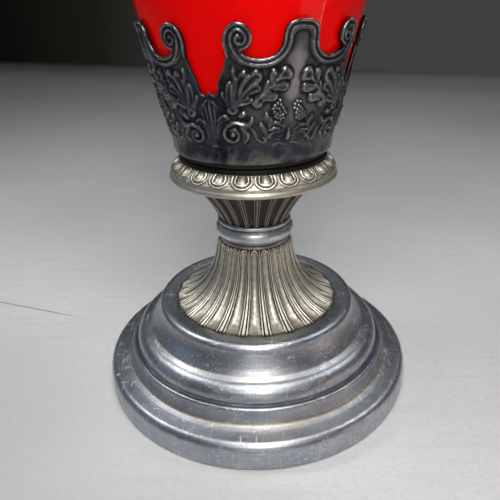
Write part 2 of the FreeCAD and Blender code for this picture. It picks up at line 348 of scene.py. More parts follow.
def aged_nickel(name="aged_nickel", dark=0.0):
    m, nt, b = mat_new(name)
    g = G(nt)
    v = g.coord()
    cav = g.attr("cav")
    big = g.noise(v, 90.0, 5.0, 0.6)
    mid = g.noise(v, 520.0, 5.0, 0.65)
    fine = g.noise(v, 1900.0, 3.0, 0.6)
    base = g.mix(g.remap(big, 0.35, 0.65, 0.0, 1.0), (0.50, 0.465, 0.39), (0.65, 0.615, 0.53))
    base = g.mix(g.remap(mid, 0.48, 0.72, 0.0, 0.45), base, (0.34, 0.30, 0.235))
    # patina from cav and blotches, plus the painted shadow on the egg ring's top under the cup, which that ring's cav
    # carries too
    dirt_and_painted_shade = g.math("ADD", g.remap(cav, 0.04, 0.75, 0.0, 1.0), g.math("MULTIPLY", g.remap(mid, 0.35, 0.7, -0.15, 0.20), g.remap(cav, -0.1, 0.2, 0.0, 1.0)), True)
    blot = g.noise(v, 17.0, 4.0, 0.6)
    dirt_and_painted_shade = g.math("ADD", dirt_and_painted_shade, g.remap(blot, 0.52, 0.70, 0.0, 0.28), True)
    if dark:
        dirt_and_painted_shade = g.math("ADD", dirt_and_painted_shade, g.remap(big, 0.2, 0.8, dark * 0.7, dark * 1.3), True)
    base = g.mix(dirt_and_painted_shade, base, (0.060, 0.050, 0.036))
    # near-black where cav is highest: patina in the deepest grooves, and painted shadow on the egg ring's top under the
    # cup
    base = g.mix(g.remap(cav, 1.2, 2.0, 0.0, 0.96), base, (0.006, 0.006, 0.005))
    base = g.mix(g.remap(cav, -0.15, -0.7, 0.0, 0.6 - 0.25 * dark), base, (0.76, 0.72, 0.63))
    g.link(base, b.inputs["Base Color"])
    g.link(g.remap(dirt_and_painted_shade, 0.0, 1.0, 1.0, 0.6), b.inputs["Metallic"])
    rg = g.math("ADD", g.remap(mid, 0.3, 0.7, 0.39, 0.51), g.remap(dirt_and_painted_shade, 0.0, 1.0, 0.0, 0.12), True)
    g.link(rg, b.inputs["Roughness"])
    n1 = g.bump(mid, 0.20, 0.00016)
    n2 = g.bump(fine, 0.12, 0.00005, n1)
    g.link(n2, b.inputs["Normal"])
    return m


def dark_pewter(name="dark_pewter"):
    m, nt, b = mat_new(name)
    g = G(nt)
    v = g.coord()
    cav = g.attr("cav")
    rel = g.attr("relief")
    pol = g.attr("polish")
    big = g.noise(v, 60.0, 5.0, 0.6)
    mid = g.noise(v, 380.0, 5.0, 0.65)
    fine = g.noise(v, 1800.0, 3.0, 0.6)
    cloud = g.noise(v, 26.0, 5.0, 0.62)
    base = g.mix(g.remap(big, 0.38, 0.62, 0.0, 1.0), (0.014, 0.018, 0.031), (0.058, 0.064, 0.082))
    base = g.mix(g.remap(cloud, 0.49, 0.64, 0.0, 0.75), base, (0.145, 0.143, 0.138))
    base = g.mix(g.remap(mid, 0.52, 0.72, 0.0, 0.40), base, (0.15, 0.145, 0.135))
    zz = g.node("ShaderNodeSeparateXYZ")
    g.link(v, zz.inputs[0])
    low = g.remap(zz.outputs["Z"], 0.1105, 0.1170, 1.0, 0.0)
    smu = g.noise(v, 95.0, 6.0, 0.68, 0.6)
    base = g.mix(g.math("MULTIPLY", low, g.remap(smu, 0.46, 0.60, 0.0, 0.80)), base, (0.20, 0.195, 0.175))
    base = g.mix(g.math("MULTIPLY", low, g.remap(smu, 0.46, 0.36, 0.0, 0.80)), base, (0.012, 0.014, 0.018))
    # painted highlight: a lighter, mottled band along the cup's bottom edge below about z 110.6 mm
    foot = g.remap(zz.outputs["Z"], 0.1090, 0.1106, 0.55, 0.0)
    base = g.mix(g.math("MULTIPLY", foot, g.remap(smu, 0.40, 0.56, 0.25, 1.0)), base, (0.24, 0.235, 0.215))
    high = g.math("MULTIPLY", g.remap(rel, 0.15, 1.0, 0.0, 0.60), g.remap(mid, 0.30, 0.62, 0.35, 1.0))
    base = g.mix(high, base, g.mix(g.remap(g.noise(v, 140.0, 4.0, 0.6), 0.42, 0.60, 0.0, 1.0), (0.105, 0.120, 0.155), (0.205, 0.190, 0.165)))
    edge = g.math("MULTIPLY", g.remap(cav, -0.18, -0.75, 0.0, 0.85), g.remap(mid, 0.36, 0.64, 0.20, 1.0))
    base = g.mix(edge, base, (0.40, 0.38, 0.35))
    base = g.mix(g.math("MULTIPLY", g.math("MULTIPLY", pol, g.remap(rel, 0.10, 0.45, 1.0, 0.0)), g.remap(mid, 0.3, 0.7, 0.90, 0.60)), base, (0.33, 0.335, 0.33))
    base = g.mix(g.remap(cav, 0.08, 0.50, 0.0, 0.85), base, (0.010, 0.012, 0.018))
    g.link(base, b.inputs["Base Color"])
    b.inputs["Metallic"].default_value = 0.92
    rg = g.math("SUBTRACT", g.remap(mid, 0.3, 0.7, 0.25, 0.38), g.math("MULTIPLY", edge, 0.06))
    rg = g.math("ADD", rg, g.remap(cav, 0.05, 0.5, 0.0, 0.15), True)
    g.link(rg, b.inputs["Roughness"])
    n1 = g.bump(mid, 0.18, 0.00018)
    n2 = g.bump(fine, 0.12, 0.00005, n1)
    g.link(n2, b.inputs["Normal"])
    return m


def ruby(name="ruby_glass"):
    m, nt, b = mat_new(name)
    g = G(nt)
    v = g.coord((1, 1, 0.25))
    n = g.noise(v, 30.0, 3.0, 0.5)
    f = g.noise(v, 220.0, 3.0, 0.5)
    seeds = g.voronoi(g.coord((1, 1, 0.7)), 260.0)
    base = g.mix(g.remap(n, 0.35, 0.65, 0.0, 1.0), (0.80, 0.0, 0.0), (0.90, 0.001, 0.0005))
    g.link(base, b.inputs["Base Color"])
    b.inputs["IOR"].default_value = 1.5
    b.inputs["Specular IOR Level"].default_value = 0.10
    b.inputs["Transmission Weight"].default_value = 0.0
    g.link(g.remap(f, 0.3, 0.7, 0.06, 0.11), b.inputs["Roughness"])
    # painted glow: a weak red emission makes the glass shine as if lit from inside
    b.inputs["Emission Color"].default_value = (1.0, 0.0, 0.0, 1)
    b.inputs["Emission Strength"].default_value = 0.05
    n1 = g.bump(n, 0.10, 0.0015)
    n2 = g.bump(g.remap(seeds, 0.03, 0.07, 1.0, 0.0), 0.12, 0.0001, n1)
    g.link(n2, b.inputs["Normal"])
    return m


def simple(name, c0, c1, scale, rough, metallic=0.0, bump=0.2, dist=0.0002, stretch=(1, 1, 1), detail=5.0, **kw):
    m, nt, b = mat_new(name)
    g = G(nt)
    v = g.coord(stretch)
    n = g.noise(v, scale, detail, 0.6)
    f = g.noise(v, scale * 5.0, 3.0, 0.6)
    g.link(g.mix(g.remap(n, 0.32, 0.68, 0.0, 1.0), c0, c1), b.inputs["Base Color"])
    g.link(g.remap(f, 0.3, 0.7, rough[0], rough[1]), b.inputs["Roughness"])
    b.inputs["Metallic"].default_value = metallic
    g.link(g.bump(f, bump, dist), b.inputs["Normal"])
    for k, val in kw.items():
        b.inputs[k.replace("_", " ")].default_value = val
    return m


M_AL = satin_aluminium()
# painted light: a lighter copy of the foot's satin aluminium, its tone raised so the collar stays bright under dimmer
# lamps
M_AL_PAINTED_BRIGHT = satin_aluminium("satin_aluminium_collar_painted_bright", 1.0, (0.36, 0.46), (0.56, 0.59, 0.63), (0.70, 0.715, 0.74))
M_NI = aged_nickel()
M_NIN = aged_nickel("aged_nickel_neck", dark=0.90)
M_PEW = dark_pewter()
M_RUBY = ruby()
M_RUB = simple("gasket_rubber", (0.006, 0.006, 0.006), (0.014, 0.013, 0.012), 300.0, (0.55, 0.75), bump=0.3)
M_FELT = simple("green_felt", (0.035, 0.075, 0.045), (0.06, 0.11, 0.065), 700.0, (0.85, 1.0), bump=0.8, dist=0.0004)
M_IRON = simple("cast_iron", (0.035, 0.034, 0.033), (0.07, 0.065, 0.06), 260.0, (0.6, 0.85), 0.85, 0.6, 0.0005)
M_STEEL = simple("zinc_steel", (0.42, 0.42, 0.40), (0.60, 0.60, 0.58), 400.0, (0.25, 0.42), 1.0, 0.15, 0.0001)
M_CORK = simple("cork", (0.23, 0.12, 0.055), (0.45, 0.27, 0.14), 600.0, (0.75, 0.95), bump=0.7, dist=0.0004)
M_WAX = simple("ivory_wax", (0.80, 0.74, 0.60), (0.88, 0.83, 0.71), 90.0, (0.38, 0.55), bump=0.12, dist=0.0003, Subsurface_Weight=0.25, Subsurface_Scale=0.004)
M_WICK = simple("cotton_wick", (0.62, 0.57, 0.47), (0.80, 0.77, 0.68), 1500.0, (0.85, 1.0), bump=0.9, dist=0.0002, stretch=(1, 1, 0.4))
M_CASE = simple("clear_case", (0.86, 0.88, 0.88), (0.92, 0.93, 0.93), 40.0, (0.08, 0.16), bump=0.05, dist=0.0002, Transmission_Weight=0.92, IOR=1.46)

for node, mat in (("base_felt", M_FELT), ("base_weight", M_IRON), ("base_washer", M_STEEL), ("base_nut", M_STEEL),
                  ("tie_rod", M_STEEL), ("cup_gasket", M_RUB), ("cup_washer", M_STEEL), ("cup_nut", M_STEEL),
                  ("cork_seat", M_CORK), ("wick_sustainer", M_STEEL)):
    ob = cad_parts[node]
    ob = ob if hasattr(ob, "data") else bpy.data.objects[ob]
    ob.data.materials.clear()
    ob.data.materials.append(mat)


def put(ob, mat, body, nodes):
    ob.data.materials.append(mat)
    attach(ob, body)
    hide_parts(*nodes)
    return ob


# ------------------------------------------------------------------- the foot
def lathe_piece(name, outer, inner, mat, node, body="stand", ncol=360, soft=0.3, step=0.3, inner_step=0.9, wob=0.0):
    po = profile(outer, step, soft)
    pi = profile(inner, inner_step, 0.15)
    cav = np.r_[profile_cavity(po, 2.0), np.zeros(len(pi))]
    R = np.r_[po[:, 0], pi[:, 0]]
    Z = np.r_[po[:, 1], pi[:, 1]]
    ob = surf_of_rev(name, R, Z, ncol, True, {"cav": cav})
    return put(ob, mat, body, [node])


fl = [(68.7, 0.0), (69.6, 0.0), (70.0, 0.5), (69.98, 4.2), (69.9, 8.3)] + arc(66.4, 8.4, 3.5, 4, 90, 9) + \
     [(64.6, 12.15), (62.9, 12.45), (61.9, 12.75), (61.0, 13.0), (60.35, 13.55), (59.9, 14.6), (59.5, 16.0), (59.05, 18.6), (58.85, 19.25), (58.2, 19.72),
      (57.6, 19.6), (57.15, 19.0), (56.6, 18.55), (56.0, 18.5)]
fl_in = [(48.0, 18.5), (48.0, 17.0), (57.3, 17.0), (57.9, 15.6), (58.7, 13.6), (60.0, 11.9), (61.8, 11.1), (64.0, 10.7)] + arc(66.4, 8.4, 2.0, 90, 6, 6) + \
        [(68.5, 4.2), (68.5, 0.3)]
lathe_piece("foot_flange_spun", fl, fl_in, M_AL, "foot_flange", ncol=400, soft=0.22)

dm = [(56.0, 18.55)] + arc(50.35, 20.54, 6.0, -16, 80, 16) + [(49.4, 27.5), (47.7, 29.5), (46.4, 31.5), (45.4, 33.3),
      (44.85, 34.8), (44.6, 35.9), (44.35, 36.75), (43.6, 37.6), (42.5, 38.15), (41.4, 38.25), (39.0, 38.0), (37.6, 37.85), (37.3, 37.72)]
dm_in = [(3.3, 37.7), (3.3, 36.35), (38.0, 36.3), (42.2, 36.3), (43.0, 35.6), (43.2, 34.6), (43.8, 33.0), (44.9, 31.1), (46.2, 28.9), (48.3, 26.4)] + \
        arc(50.35, 20.54, 4.5, 78, 0, 6) + [(54.7, 18.6)]
lathe_piece("foot_dome_spun", dm, dm_in, M_AL, "foot_dome", ncol=360, soft=0.25)

# ------------------------------------------------------------------ the collar
co = [(13.0, 67.3), (13.1, 68.05), (14.4, 68.1)] + arc(13.75, 71.4, 3.3, -62, 60, 16) + [(15.30, 74.45), (15.25, 74.62), (15.45, 74.78)] + \
     arc(15.0, 75.6, 0.92, -55, 90, 8)
ci = [(14.8, 75.55), (3.3, 75.5), (3.3, 67.25)]
lathe_piece("collar_ring_turned", co, ci, M_AL_PAINTED_BRIGHT, "collar_ring", ncol=200, soft=0.16, step=0.2)


# ------------------------------------------------------- fluted skirt and neck
def sstep(x, a, b):
    t = np.clip((x - a) / (b - a), 0, 1)
    return t * t * (3 - 2 * t)


def bead(x, c, w):
    t = np.clip(1 - ((x - c) / w) ** 2, 0, 1)
    return np.sqrt(t) * 0.5 + t * 0.5


def fluted(name, outer, inner, rib, mat, node, s_end, cap, depth, ncol_per=34, step=0.45, end_top=True, grow=None):
    po = profile(outer, step, 0.3)
    n = len(po)
    seg = np.r_[0, np.cumsum(np.hypot(*np.diff(po, axis=0).T))]
    ncol = FLUTES * ncol_per
    pitch = 360.0 / FLUTES
    ang = np.arange(ncol) / ncol * 360.0
    phi = ((ang % pitch) - pitch / 2)              # 0 in the middle of a flute, rib at +-pitch/2
    PH = np.repeat(np.abs(phi)[None, :], n, 0)
    S = np.repeat(seg[:, None], ncol, 1)
    r0 = po[:, 0][:, None]
    scale = (r0 / outer_max(outer)) ** 0.55
    half = pitch / 2
    fw = half * 0.64                                # half width of the hollow
    y = np.clip((S - (s_end - cap)) / cap, 0, None)
    rho = np.sqrt((PH / fw) ** 2 + y ** 2)
    inside = np.clip(1 - rho ** 2, 0, 1)
    hollow = -depth * inside ** 0.8
    rim = (0.26 + 0.26 * sstep(S, s_end - cap * 1.2, s_end - cap * 0.3)) * bead(rho, 1.10, 0.13)
    groove = -0.50 * bead(PH / half, 0.80, 0.060) * (1 - sstep(S, s_end - cap * 0.2, s_end + cap * 0.3))
    centre = 0.40 * bead(PH / half, 1.0, 0.16) * (1 - sstep(S, s_end + cap * 0.1, s_end + cap * 0.5))
    d = (hollow + rim + groove + centre) * scale
    fade = 1 - sstep(S, s_end + cap * 0.35, s_end + cap * 0.7)
    if grow is not None:
        fade = fade * np.interp(seg, grow[0], grow[1])[:, None]
    d = d * fade
    # cavity for the patina: deviation from a local mean across the rib structure
    blur = d.copy()
    k = max(2, ncol_per // 12)
    for sft in range(1, k + 1):
        blur += np.roll(d, sft, 1) + np.roll(d, -sft, 1)
    blur /= (2 * k + 1)
    cav = (blur - d) / scale * 7.0
    cav = cav + 0.35 * np.clip(1 - np.abs(rho - 0.97) / 0.10, 0, 1) * fade
    cav = cav + 0.24 * sstep(PH / fw, 0.55, 1.0) * (PH < fw * 1.02) * (S < s_end)
    cav = cav + 0.95 * bead(PH / half, 0.80, 0.085) * (1 - sstep(S, s_end - cap * 0.2, s_end + cap * 0.3))
    cav = cav + 1.15 * (1 - sstep(S, 0.45, 1.9))
    cav = cav + 0.8 * sstep(rho, 1.20, 1.32) * sstep(S, s_end - cap * 1.6, s_end - cap * 0.5) * (1 - sstep(S, s_end + cap * 0.35, s_end + cap * 0.6))
    prof_c = profile_cavity(po, 2.0)[:, None]
    cav = cav + prof_c * 0.35
    # displace along the profile's normal
    t = np.gradient(po, axis=0)
    t /= np.hypot(*t.T)[:, None]
    nr, nz = t[:, 1][:, None], -t[:, 0][:, None]
    R = r0 + d * nr
    Z = po[:, 1][:, None] + d * nz
    pi = profile(inner, 1.2, 0.2)
    R = np.vstack([R, np.repeat(pi[:, 0][:, None], ncol, 1)])
    Z = np.vstack([Z, np.repeat(pi[:, 1][:, None], ncol, 1)])
    cav = np.vstack([cav, np.zeros((len(pi), ncol))])
    ob = surf_of_rev(name, R, Z, ncol, True, {"cav": cav}, phase=rib)
    return put(ob, mat, "stand", [node])


def outer_max(o):
    return max(p[0] for p in o)


sk = [(37.0, 37.74), (36.7, 38.02), (36.0, 38.25), (34.2, 38.9), (31.0, 40.2), (28.4, 41.75), (26.0, 43.65), (23.9, 45.8), (22.0, 48.2), (20.8, 50.1), (19.9, 51.8),
      (19.1, 53.5), (18.55, 55.0), (17.9, 57.4), (17.3, 60.0), (16.9, 62.2), (16.62, 63.7), (16.32, 64.15), (16.55, 64.6), (16.5, 65.05), (15.9, 65.5), (15.3, 66.0), (15.2, 66.4), (15.35, 66.8), (15.1, 67.15)]
ski = [(3.3, 67.2), (3.3, 62.5), (14.2, 62.5), (15.0, 58.0), (16.2, 53.2), (18.0, 48.8), (21.0, 44.6), (24.4, 41.4), (28.0, 39.2), (32.5, 37.95), (33.0, 37.75)]
fluted("fluted_skirt_cast", sk, ski, SKIRT_RIB, M_NI, "fluted_skirt", 37.6, 2.6, 1.45,
       grow=([0, 0.8, 3.0, 6.0, 12, 30, 40], [0.10, 0.30, 0.70, 0.95, 1.0, 0.95, 0.85]))

nk = [(14.35, 75.6), (14.75, 76.6), (15.0, 77.2), (15.75, 78.8), (16.9, 81.1), (18.4, 83.6), (20.4, 86.6), (22.8, 89.9), (25.4, 93.2), (27.0, 95.4), (27.3, 96.1)]
nki = [(23.6, 96.15), (22.6, 95.4), (19.8, 92.2), (17.2, 88.8), (14.8, 85.2), (13.0, 82.0), (12.0, 79.5), (3.3, 79.5), (3.3, 75.6)]
fluted("fluted_neck_cast", nk, nki, NECK_RIB, M_NIN, "fluted_neck", 60.0, 2.0, 0.95, ncol_per=28, step=0.4)

# ---------------------------------------------------------- egg-and-dart ring
er = [(33.3, 96.3), (33.9, 95.95), (34.5, 95.9), (34.85, 96.2), (34.9, 96.9), (34.6, 97.6), (34.25, 98.1), (34.15, 98.9), (34.1, 99.8), (33.85, 100.9), (33.4, 101.9),
      (32.8, 102.95), (32.1, 103.95), (31.5, 104.6), (30.9, 105.0), (30.2, 105.15), (29.6, 105.5), (29.2, 106.0), (28.5, 106.15)]
eri = [(3.3, 106.15), (3.3, 102.7), (18.0, 102.6), (21.0, 96.4), (21.4, 96.25)]


def egg_ring():
    per = 34
    po = profile(er, 0.22, 0.16)
    n = len(po)
    seg = np.r_[0, np.cumsum(np.hypot(*np.diff(po, axis=0).T))]
    ncol = EGGS * per
    pitch = 360.0 / EGGS
    ang = np.arange(ncol) / ncol * 360.0
    phi = (ang % pitch) - pitch / 2                 # egg in the middle
    X = np.repeat((np.radians(phi) * 33.3)[None, :], n, 0)      # mm across
    z_lip = np.interp(98.3, po[8:, 1], seg[8:])
    S = np.repeat(seg[:, None], ncol, 1) - z_lip    # 0 at the foot of the ovolo
    top = np.interp(104.95, po[8:, 1], seg[8:]) - z_lip

    def ell(cx, cy, ax, ay):
        yy = np.where(S > cy, (S - cy) * 0.42, S - cy)          # frames stay open towards the top
        return np.sqrt(((X - cx) / ax) ** 2 + (yy / ay) ** 2)
    e = np.sqrt((X / 1.78) ** 2 + ((S - 4.55) / 2.25) ** 2)
    egg = 0.90 * np.clip(1 - e ** 2, 0, 1) ** 0.62
    rho = ell(0, 4.55, 1.0, 0.82)
    band = 0.64 * (sstep(rho, 1.95, 2.25) - sstep(rho, 2.80, 3.15))
    gro = -0.30 * bead(rho, 3.24, 0.28)
    gro0 = -0.36 * bead(rho, 1.96, 0.26) * (e > 1)
    out = 0.46 * sstep(rho, 3.25, 3.65) * (1 - sstep(rho, 3.75, 4.40))
    gro1 = 0.0 * rho
    # dart between two eggs
    xd = (pitch / 2 * math.pi / 180 * 33.3) - np.abs(X)
    dart = 0.42 * np.clip(1 - xd / (0.22 + 0.12 * np.clip(S - 3.4, 0, 9)), 0, 1) * sstep(S, 3.0, 4.6)
    h = np.maximum(np.maximum(egg, band), np.maximum(out, dart)) + gro + gro0 + gro1
    fade = sstep(S, -0.1, 0.9) * (1 - sstep(S, top - 0.7, top - 0.1))
    for _ in range(2):
        h = (2 * h + np.roll(h, 1, 1) + np.roll(h, -1, 1)) / 4
        h[1:-1] = (h[:-2] + 2 * h[1:-1] + h[2:]) / 4
    h = h * fade - 0.35 * fade * sstep(S, 0.6, 2.2) - 1.55 * sstep(S, 1.0, 6.2) * (1 - sstep(S, top + 0.1, top + 0.9))
    blur = h.copy()
    for sft in range(1, 3):
        blur += np.roll(h, sft, 1) + np.roll(h, -sft, 1)
    blur /= 5
    b2 = blur.copy()
    b2[1:-1] = (blur[:-2] + blur[1:-1] + blur[2:]) / 3
    cav = (b2 - h) * 2.4 + (0.95 * bead(rho, 3.26, 0.34) + 0.95 * bead(rho, 1.98, 0.30) * (e > 1) + 0.45 * bead(rho, 4.40, 0.60)) * fade
    # painted shade: 0.30*sstep(S, top - 2.2, top - 0.2) darkens the ring towards its top under the cup, and
    # 2.4*sstep(S, top, top + 0.7) paints the top near-black as the shadow of the gap under the cup
    cav += 0.26 * np.clip(1 - e * 0.8, 0, 1) + 0.30 * sstep(S, top - 2.2, top - 0.2) + 0.12 * sstep(S, 1.0, 2.5) + 2.4 * sstep(S, top + 0.0, top + 0.7)
    cav += profile_cavity(po, 2.0)[:, None] * 0.35
    t = np.gradient(po, axis=0)
    t /= np.hypot(*t.T)[:, None]
    R = po[:, 0][:, None] + h * t[:, 1][:, None]
    Z = po[:, 1][:, None] - h * t[:, 0][:, None]
    pi = profile(eri, 1.6, 0.2)
    R = np.vstack([R, np.repeat(pi[:, 0][:, None], ncol, 1)])
    Z = np.vstack([Z, np.repeat(pi[:, 1][:, None], ncol, 1)])
    cav = np.vstack([cav, np.zeros((len(pi), ncol))])
    ob = surf_of_rev("egg_dart_ring_cast", R, Z, ncol, True, {"cav": cav}, phase=EGG_ANGLE - pitch / 2)
    return put(ob, M_NI, "stand", ["egg_dart_ring"])


egg_ring()

# --------------------------------------------------------------- the crown cup
CUP = np.array([(32.0, 109.0), (32.1, 111.0), (32.55, 113.8), (33.3, 117.0), (34.25, 121.0), (35.0, 125.0), (35.8, 129.0), (36.7, 133.4),
                (37.6, 137.5), (38.4, 141.0), (39.5, 145.0), (40.7, 150.0), (41.5, 153.0), (42.2, 155.6)])


def U(th):
    return RU * math.radians(th + 67.5)


def uz(pts):
    return [(U(t), z) for t, z in pts]


# crown outline, left half of one motif, from the notch's middle to the arch's top
OUT_L = [(-113.5, 133.85), (-112.0, 133.0), (-110.4, 132.35), (-109.1, 132.9), (-108.2, 134.8), (-107.1, 137.4), (-105.1, 139.9), (-103.3, 142.4), (-102.1, 144.9),
         (-102.6, 146.3), (-103.05, 148.4), (-102.8, 150.5), (-101.9, 152.3), (-100.2, 153.8), (-97.9, 154.65), (-95.6, 154.8), (-93.4, 154.3), (-91.5, 153.2),
         (-90.3, 151.8), (-89.95, 150.3), (-90.4, 148.9), (-91.5, 147.8), (-93.2, 147.0), (-95.2, 146.55),
         (-94.4, 145.8), (-92.0, 144.85), (-89.0, 144.3), (-86.0, 144.1), (-83.0, 144.3), (-80.4, 144.95), (-78.4, 146.0), (-77.0, 147.4), (-76.25, 149.0),
         (-76.15, 150.6), (-75.8, 152.1), (-74.9, 153.4), (-73.1, 154.5), (-70.6, 155.1), (-67.5, 155.25)]
ol = np.array(uz(OUT_L))
HALF = U(-22.5)
left = ol
right = ol[::-1] * np.array([-1, 1])
# the notches lean a little, so the far wall of each one is set apart from the near wall
SH = [0.0, 0.55, 0.95, 1.25, 1.25, 1.1, 0.8, 0.35]
for k_, v_ in enumerate(SH):
    right[len(right) - 1 - k_, 0] -= v_
right[-1] = left[0] + np.array([2 * HALF, 0])
one = np.vstack([left, right[1:]])
OUTLINE = np.vstack([one[:-1] - np.array([2 * HALF, 0]), one[:-1], one + np.array([2 * HALF, 0])])
# no softening (sigma 0), so that the hooks stay crisp
OUTLINE = np.stack([gsmooth(np.repeat(OUTLINE[:, 0], 1), 0.0), OUTLINE[:, 1]], -1)


def dist_poly(u, z, P):
    best = np.full(u.shape, 1e9)
    tt = np.zeros(u.shape)
    P = np.asarray(P, float)
    L = np.r_[0, np.cumsum(np.hypot(*np.diff(P, axis=0).T))]
    for i in range(len(P) - 1):
        ax, ay = P[i]
        bx, by = P[i + 1]
        dx, dy = bx - ax, by - ay
        q = dx * dx + dy * dy + 1e-12
        t = np.clip(((u - ax) * dx + (z - ay) * dy) / q, 0, 1)
        d = (u - ax - t * dx) ** 2 + (z - ay - t * dy) ** 2
        m = d < best
        best = np.where(m, d, best)
        tt = np.where(m, (L[i] + t * (L[i + 1] - L[i])) / L[-1], tt)
    return np.sqrt(best), tt


def crown_sdf(u, z):
    """positive inside the metal; u may be any array within one motif"""
    d, _ = dist_poly(u, z, OUTLINE)
    P = np.vstack([OUTLINE, [[OUTLINE[-1, 0], 90.0], [OUTLINE[0, 0], 90.0]]])
    ins = np.zeros(u.shape, bool)
    n = len(P)
    j = n - 1
    for i in range(n):
        xi, yi = P[i]
        xj, yj = P[j]
        if yi != yj:
            c = ((yi > z) != (yj > z)) & (u < (xj - xi) * (z - yi) / (yj - yi) + xi)
            ins ^= c
        j = i
    return np.where(ins, d, -d)


class Relief:
    """height field of the chased ornament; the right half is its mirror image, a little lower and closer in"""

    def __init__(self, u, z):
        self.u, self.z = u, z
        self.h = np.zeros(u.shape)
        self.pol = np.zeros(u.shape)

    def near(self, P, w):
        P = np.asarray(P)
        return (self.u > P[:, 0].min() - w) & (self.u < P[:, 0].max() + w) & (self.z > P[:, 1].min() - w) & (self.z < P[:, 1].max() + w)

    def flip(self, P):
        z = P[:, 1]
        du = np.interp(z, [112, 120, 127, 135, 141, 143], [-2.0, -2.0, -1.5, -0.8, -0.3, 0.0])
        dz = np.interp(z, [112, 119, 124, 128, 135, 141, 143], [-0.4, -1.0, -1.5, -1.6, -1.2, -0.6, 0.0])
        return np.stack([-P[:, 0] + du, z + dz], -1)

    def both(self, fn, pts, *a, mirror=True, **k):
        P = np.array(uz(pts), float)
        fn(P, *a, **k)
        if mirror:
            fn(self.flip(P), *a, **k)

    def _stroke(self, P, w, h, kind="round", sp=True, base=0.0):
        P = spline(P) if sp and len(P) > 2 else np.asarray(P, float)
        w = np.atleast_1d(np.array(w, float))
        m = self.near(P, w.max() + 0.1)
        if not m.any():
            return
        d, t = dist_poly(self.u[m], self.z[m], P)
        ww = np.interp(t, np.linspace(0, 1, len(w)), w) if len(w) > 1 else w[0]
        x = d / np.maximum(ww, 1e-3)
        q = np.clip(1 - x * x, 0, 1)
        if kind == "round":
            v = h * q ** 0.7
        elif kind == "soft":
            v = h * q ** 1.5
        elif kind == "carve":
            self.h[m] = np.maximum(self.h[m] - h * q, 0.0)
            return
        elif kind == "add":
            self.h[m] = self.h[m] + h * q
            return
        elif kind == "hollow":        # raised lips, dished middle
            v = h * (q ** 0.5) * (0.55 + 0.45 * sstep(x, 0.15, 0.72))
        self.h[m] = np.maximum(self.h[m], v + base * (v > 0))

    def stroke(self, pts, w, h, kind="round", mirror=True, base=0.0):
        self.both(self._stroke, pts, w, h, kind, mirror=mirror, base=base)

    def blob(self, th, z, r, h, mirror=True, ry=None, rot=0.0):
        ry = ry or r
        P = np.array([[U(th), z]])
        for k, Q in enumerate([P, self.flip(P)] if mirror else [P]):
            c, s_ = math.cos(math.radians(rot)), math.sin(math.radians(rot)) * (1 if k == 0 else -1)
            dx, dy = self.u - Q[0, 0], self.z - Q[0, 1]
            x = np.sqrt(((dx * c + dy * s_) / r) ** 2 + ((dy * c - dx * s_) / ry) ** 2)
            q = np.clip(1 - x * x, 0, 1)
            if h < 0:
                self.h = np.maximum(self.h + h * q, 0.0)
            else:
                self.h = np.maximum(self.h, h * q ** 0.6)

    def _pad(self, P, h, r, rim, dome):
        P = spline(np.vstack([P, P[:1]]), 5)
        m = self.near(P, 0.3)
        u, z = self.u[m], self.z[m]
        d, _ = dist_poly(u, z, P)
        ins = np.zeros(u.shape, bool)
        j = len(P) - 2
        for i in range(len(P) - 1):
            xi, yi = P[i]
            xj, yj = P[j]
            if yi != yj:
                ins ^= ((yi > z) != (yj > z)) & (u < (xj - xi) * (z - yi) / (yj - yi) + xi)
            j = i
        q = np.clip(np.where(ins, d, 0) / r, 0, 1)
        v = h * np.sqrt(1 - (1 - q) ** 2) + rim * np.exp(-((d - 0.55) / 0.34) ** 2) * ins + dome * np.clip(d / 2.2, 0, 1) * ins
        self.h[m] = np.maximum(self.h[m], v)

    def pad(self, pts, h, r=0.7, rim=0.0, dome=0.0, mirror=True):
        self.both(self._pad, pts, h, r, rim, dome, mirror=mirror)

    def sheen(self, th, z, ru, rz, v):
        x = np.sqrt(((self.u - U(th)) / ru) ** 2 + ((self.z - z) / rz) ** 2)
        self.pol = np.maximum(self.pol, v * sstep(1 - x, 0.0, 0.55))


def offset_line(P, dist):
    """shift a polyline to its right side (into the metal)"""
    t = np.gradient(P, axis=0)
    t /= np.maximum(np.hypot(*t.T), 1e-9)[:, None]
    return P + dist * np.stack([t[:, 1], -t[:, 0]], -1)


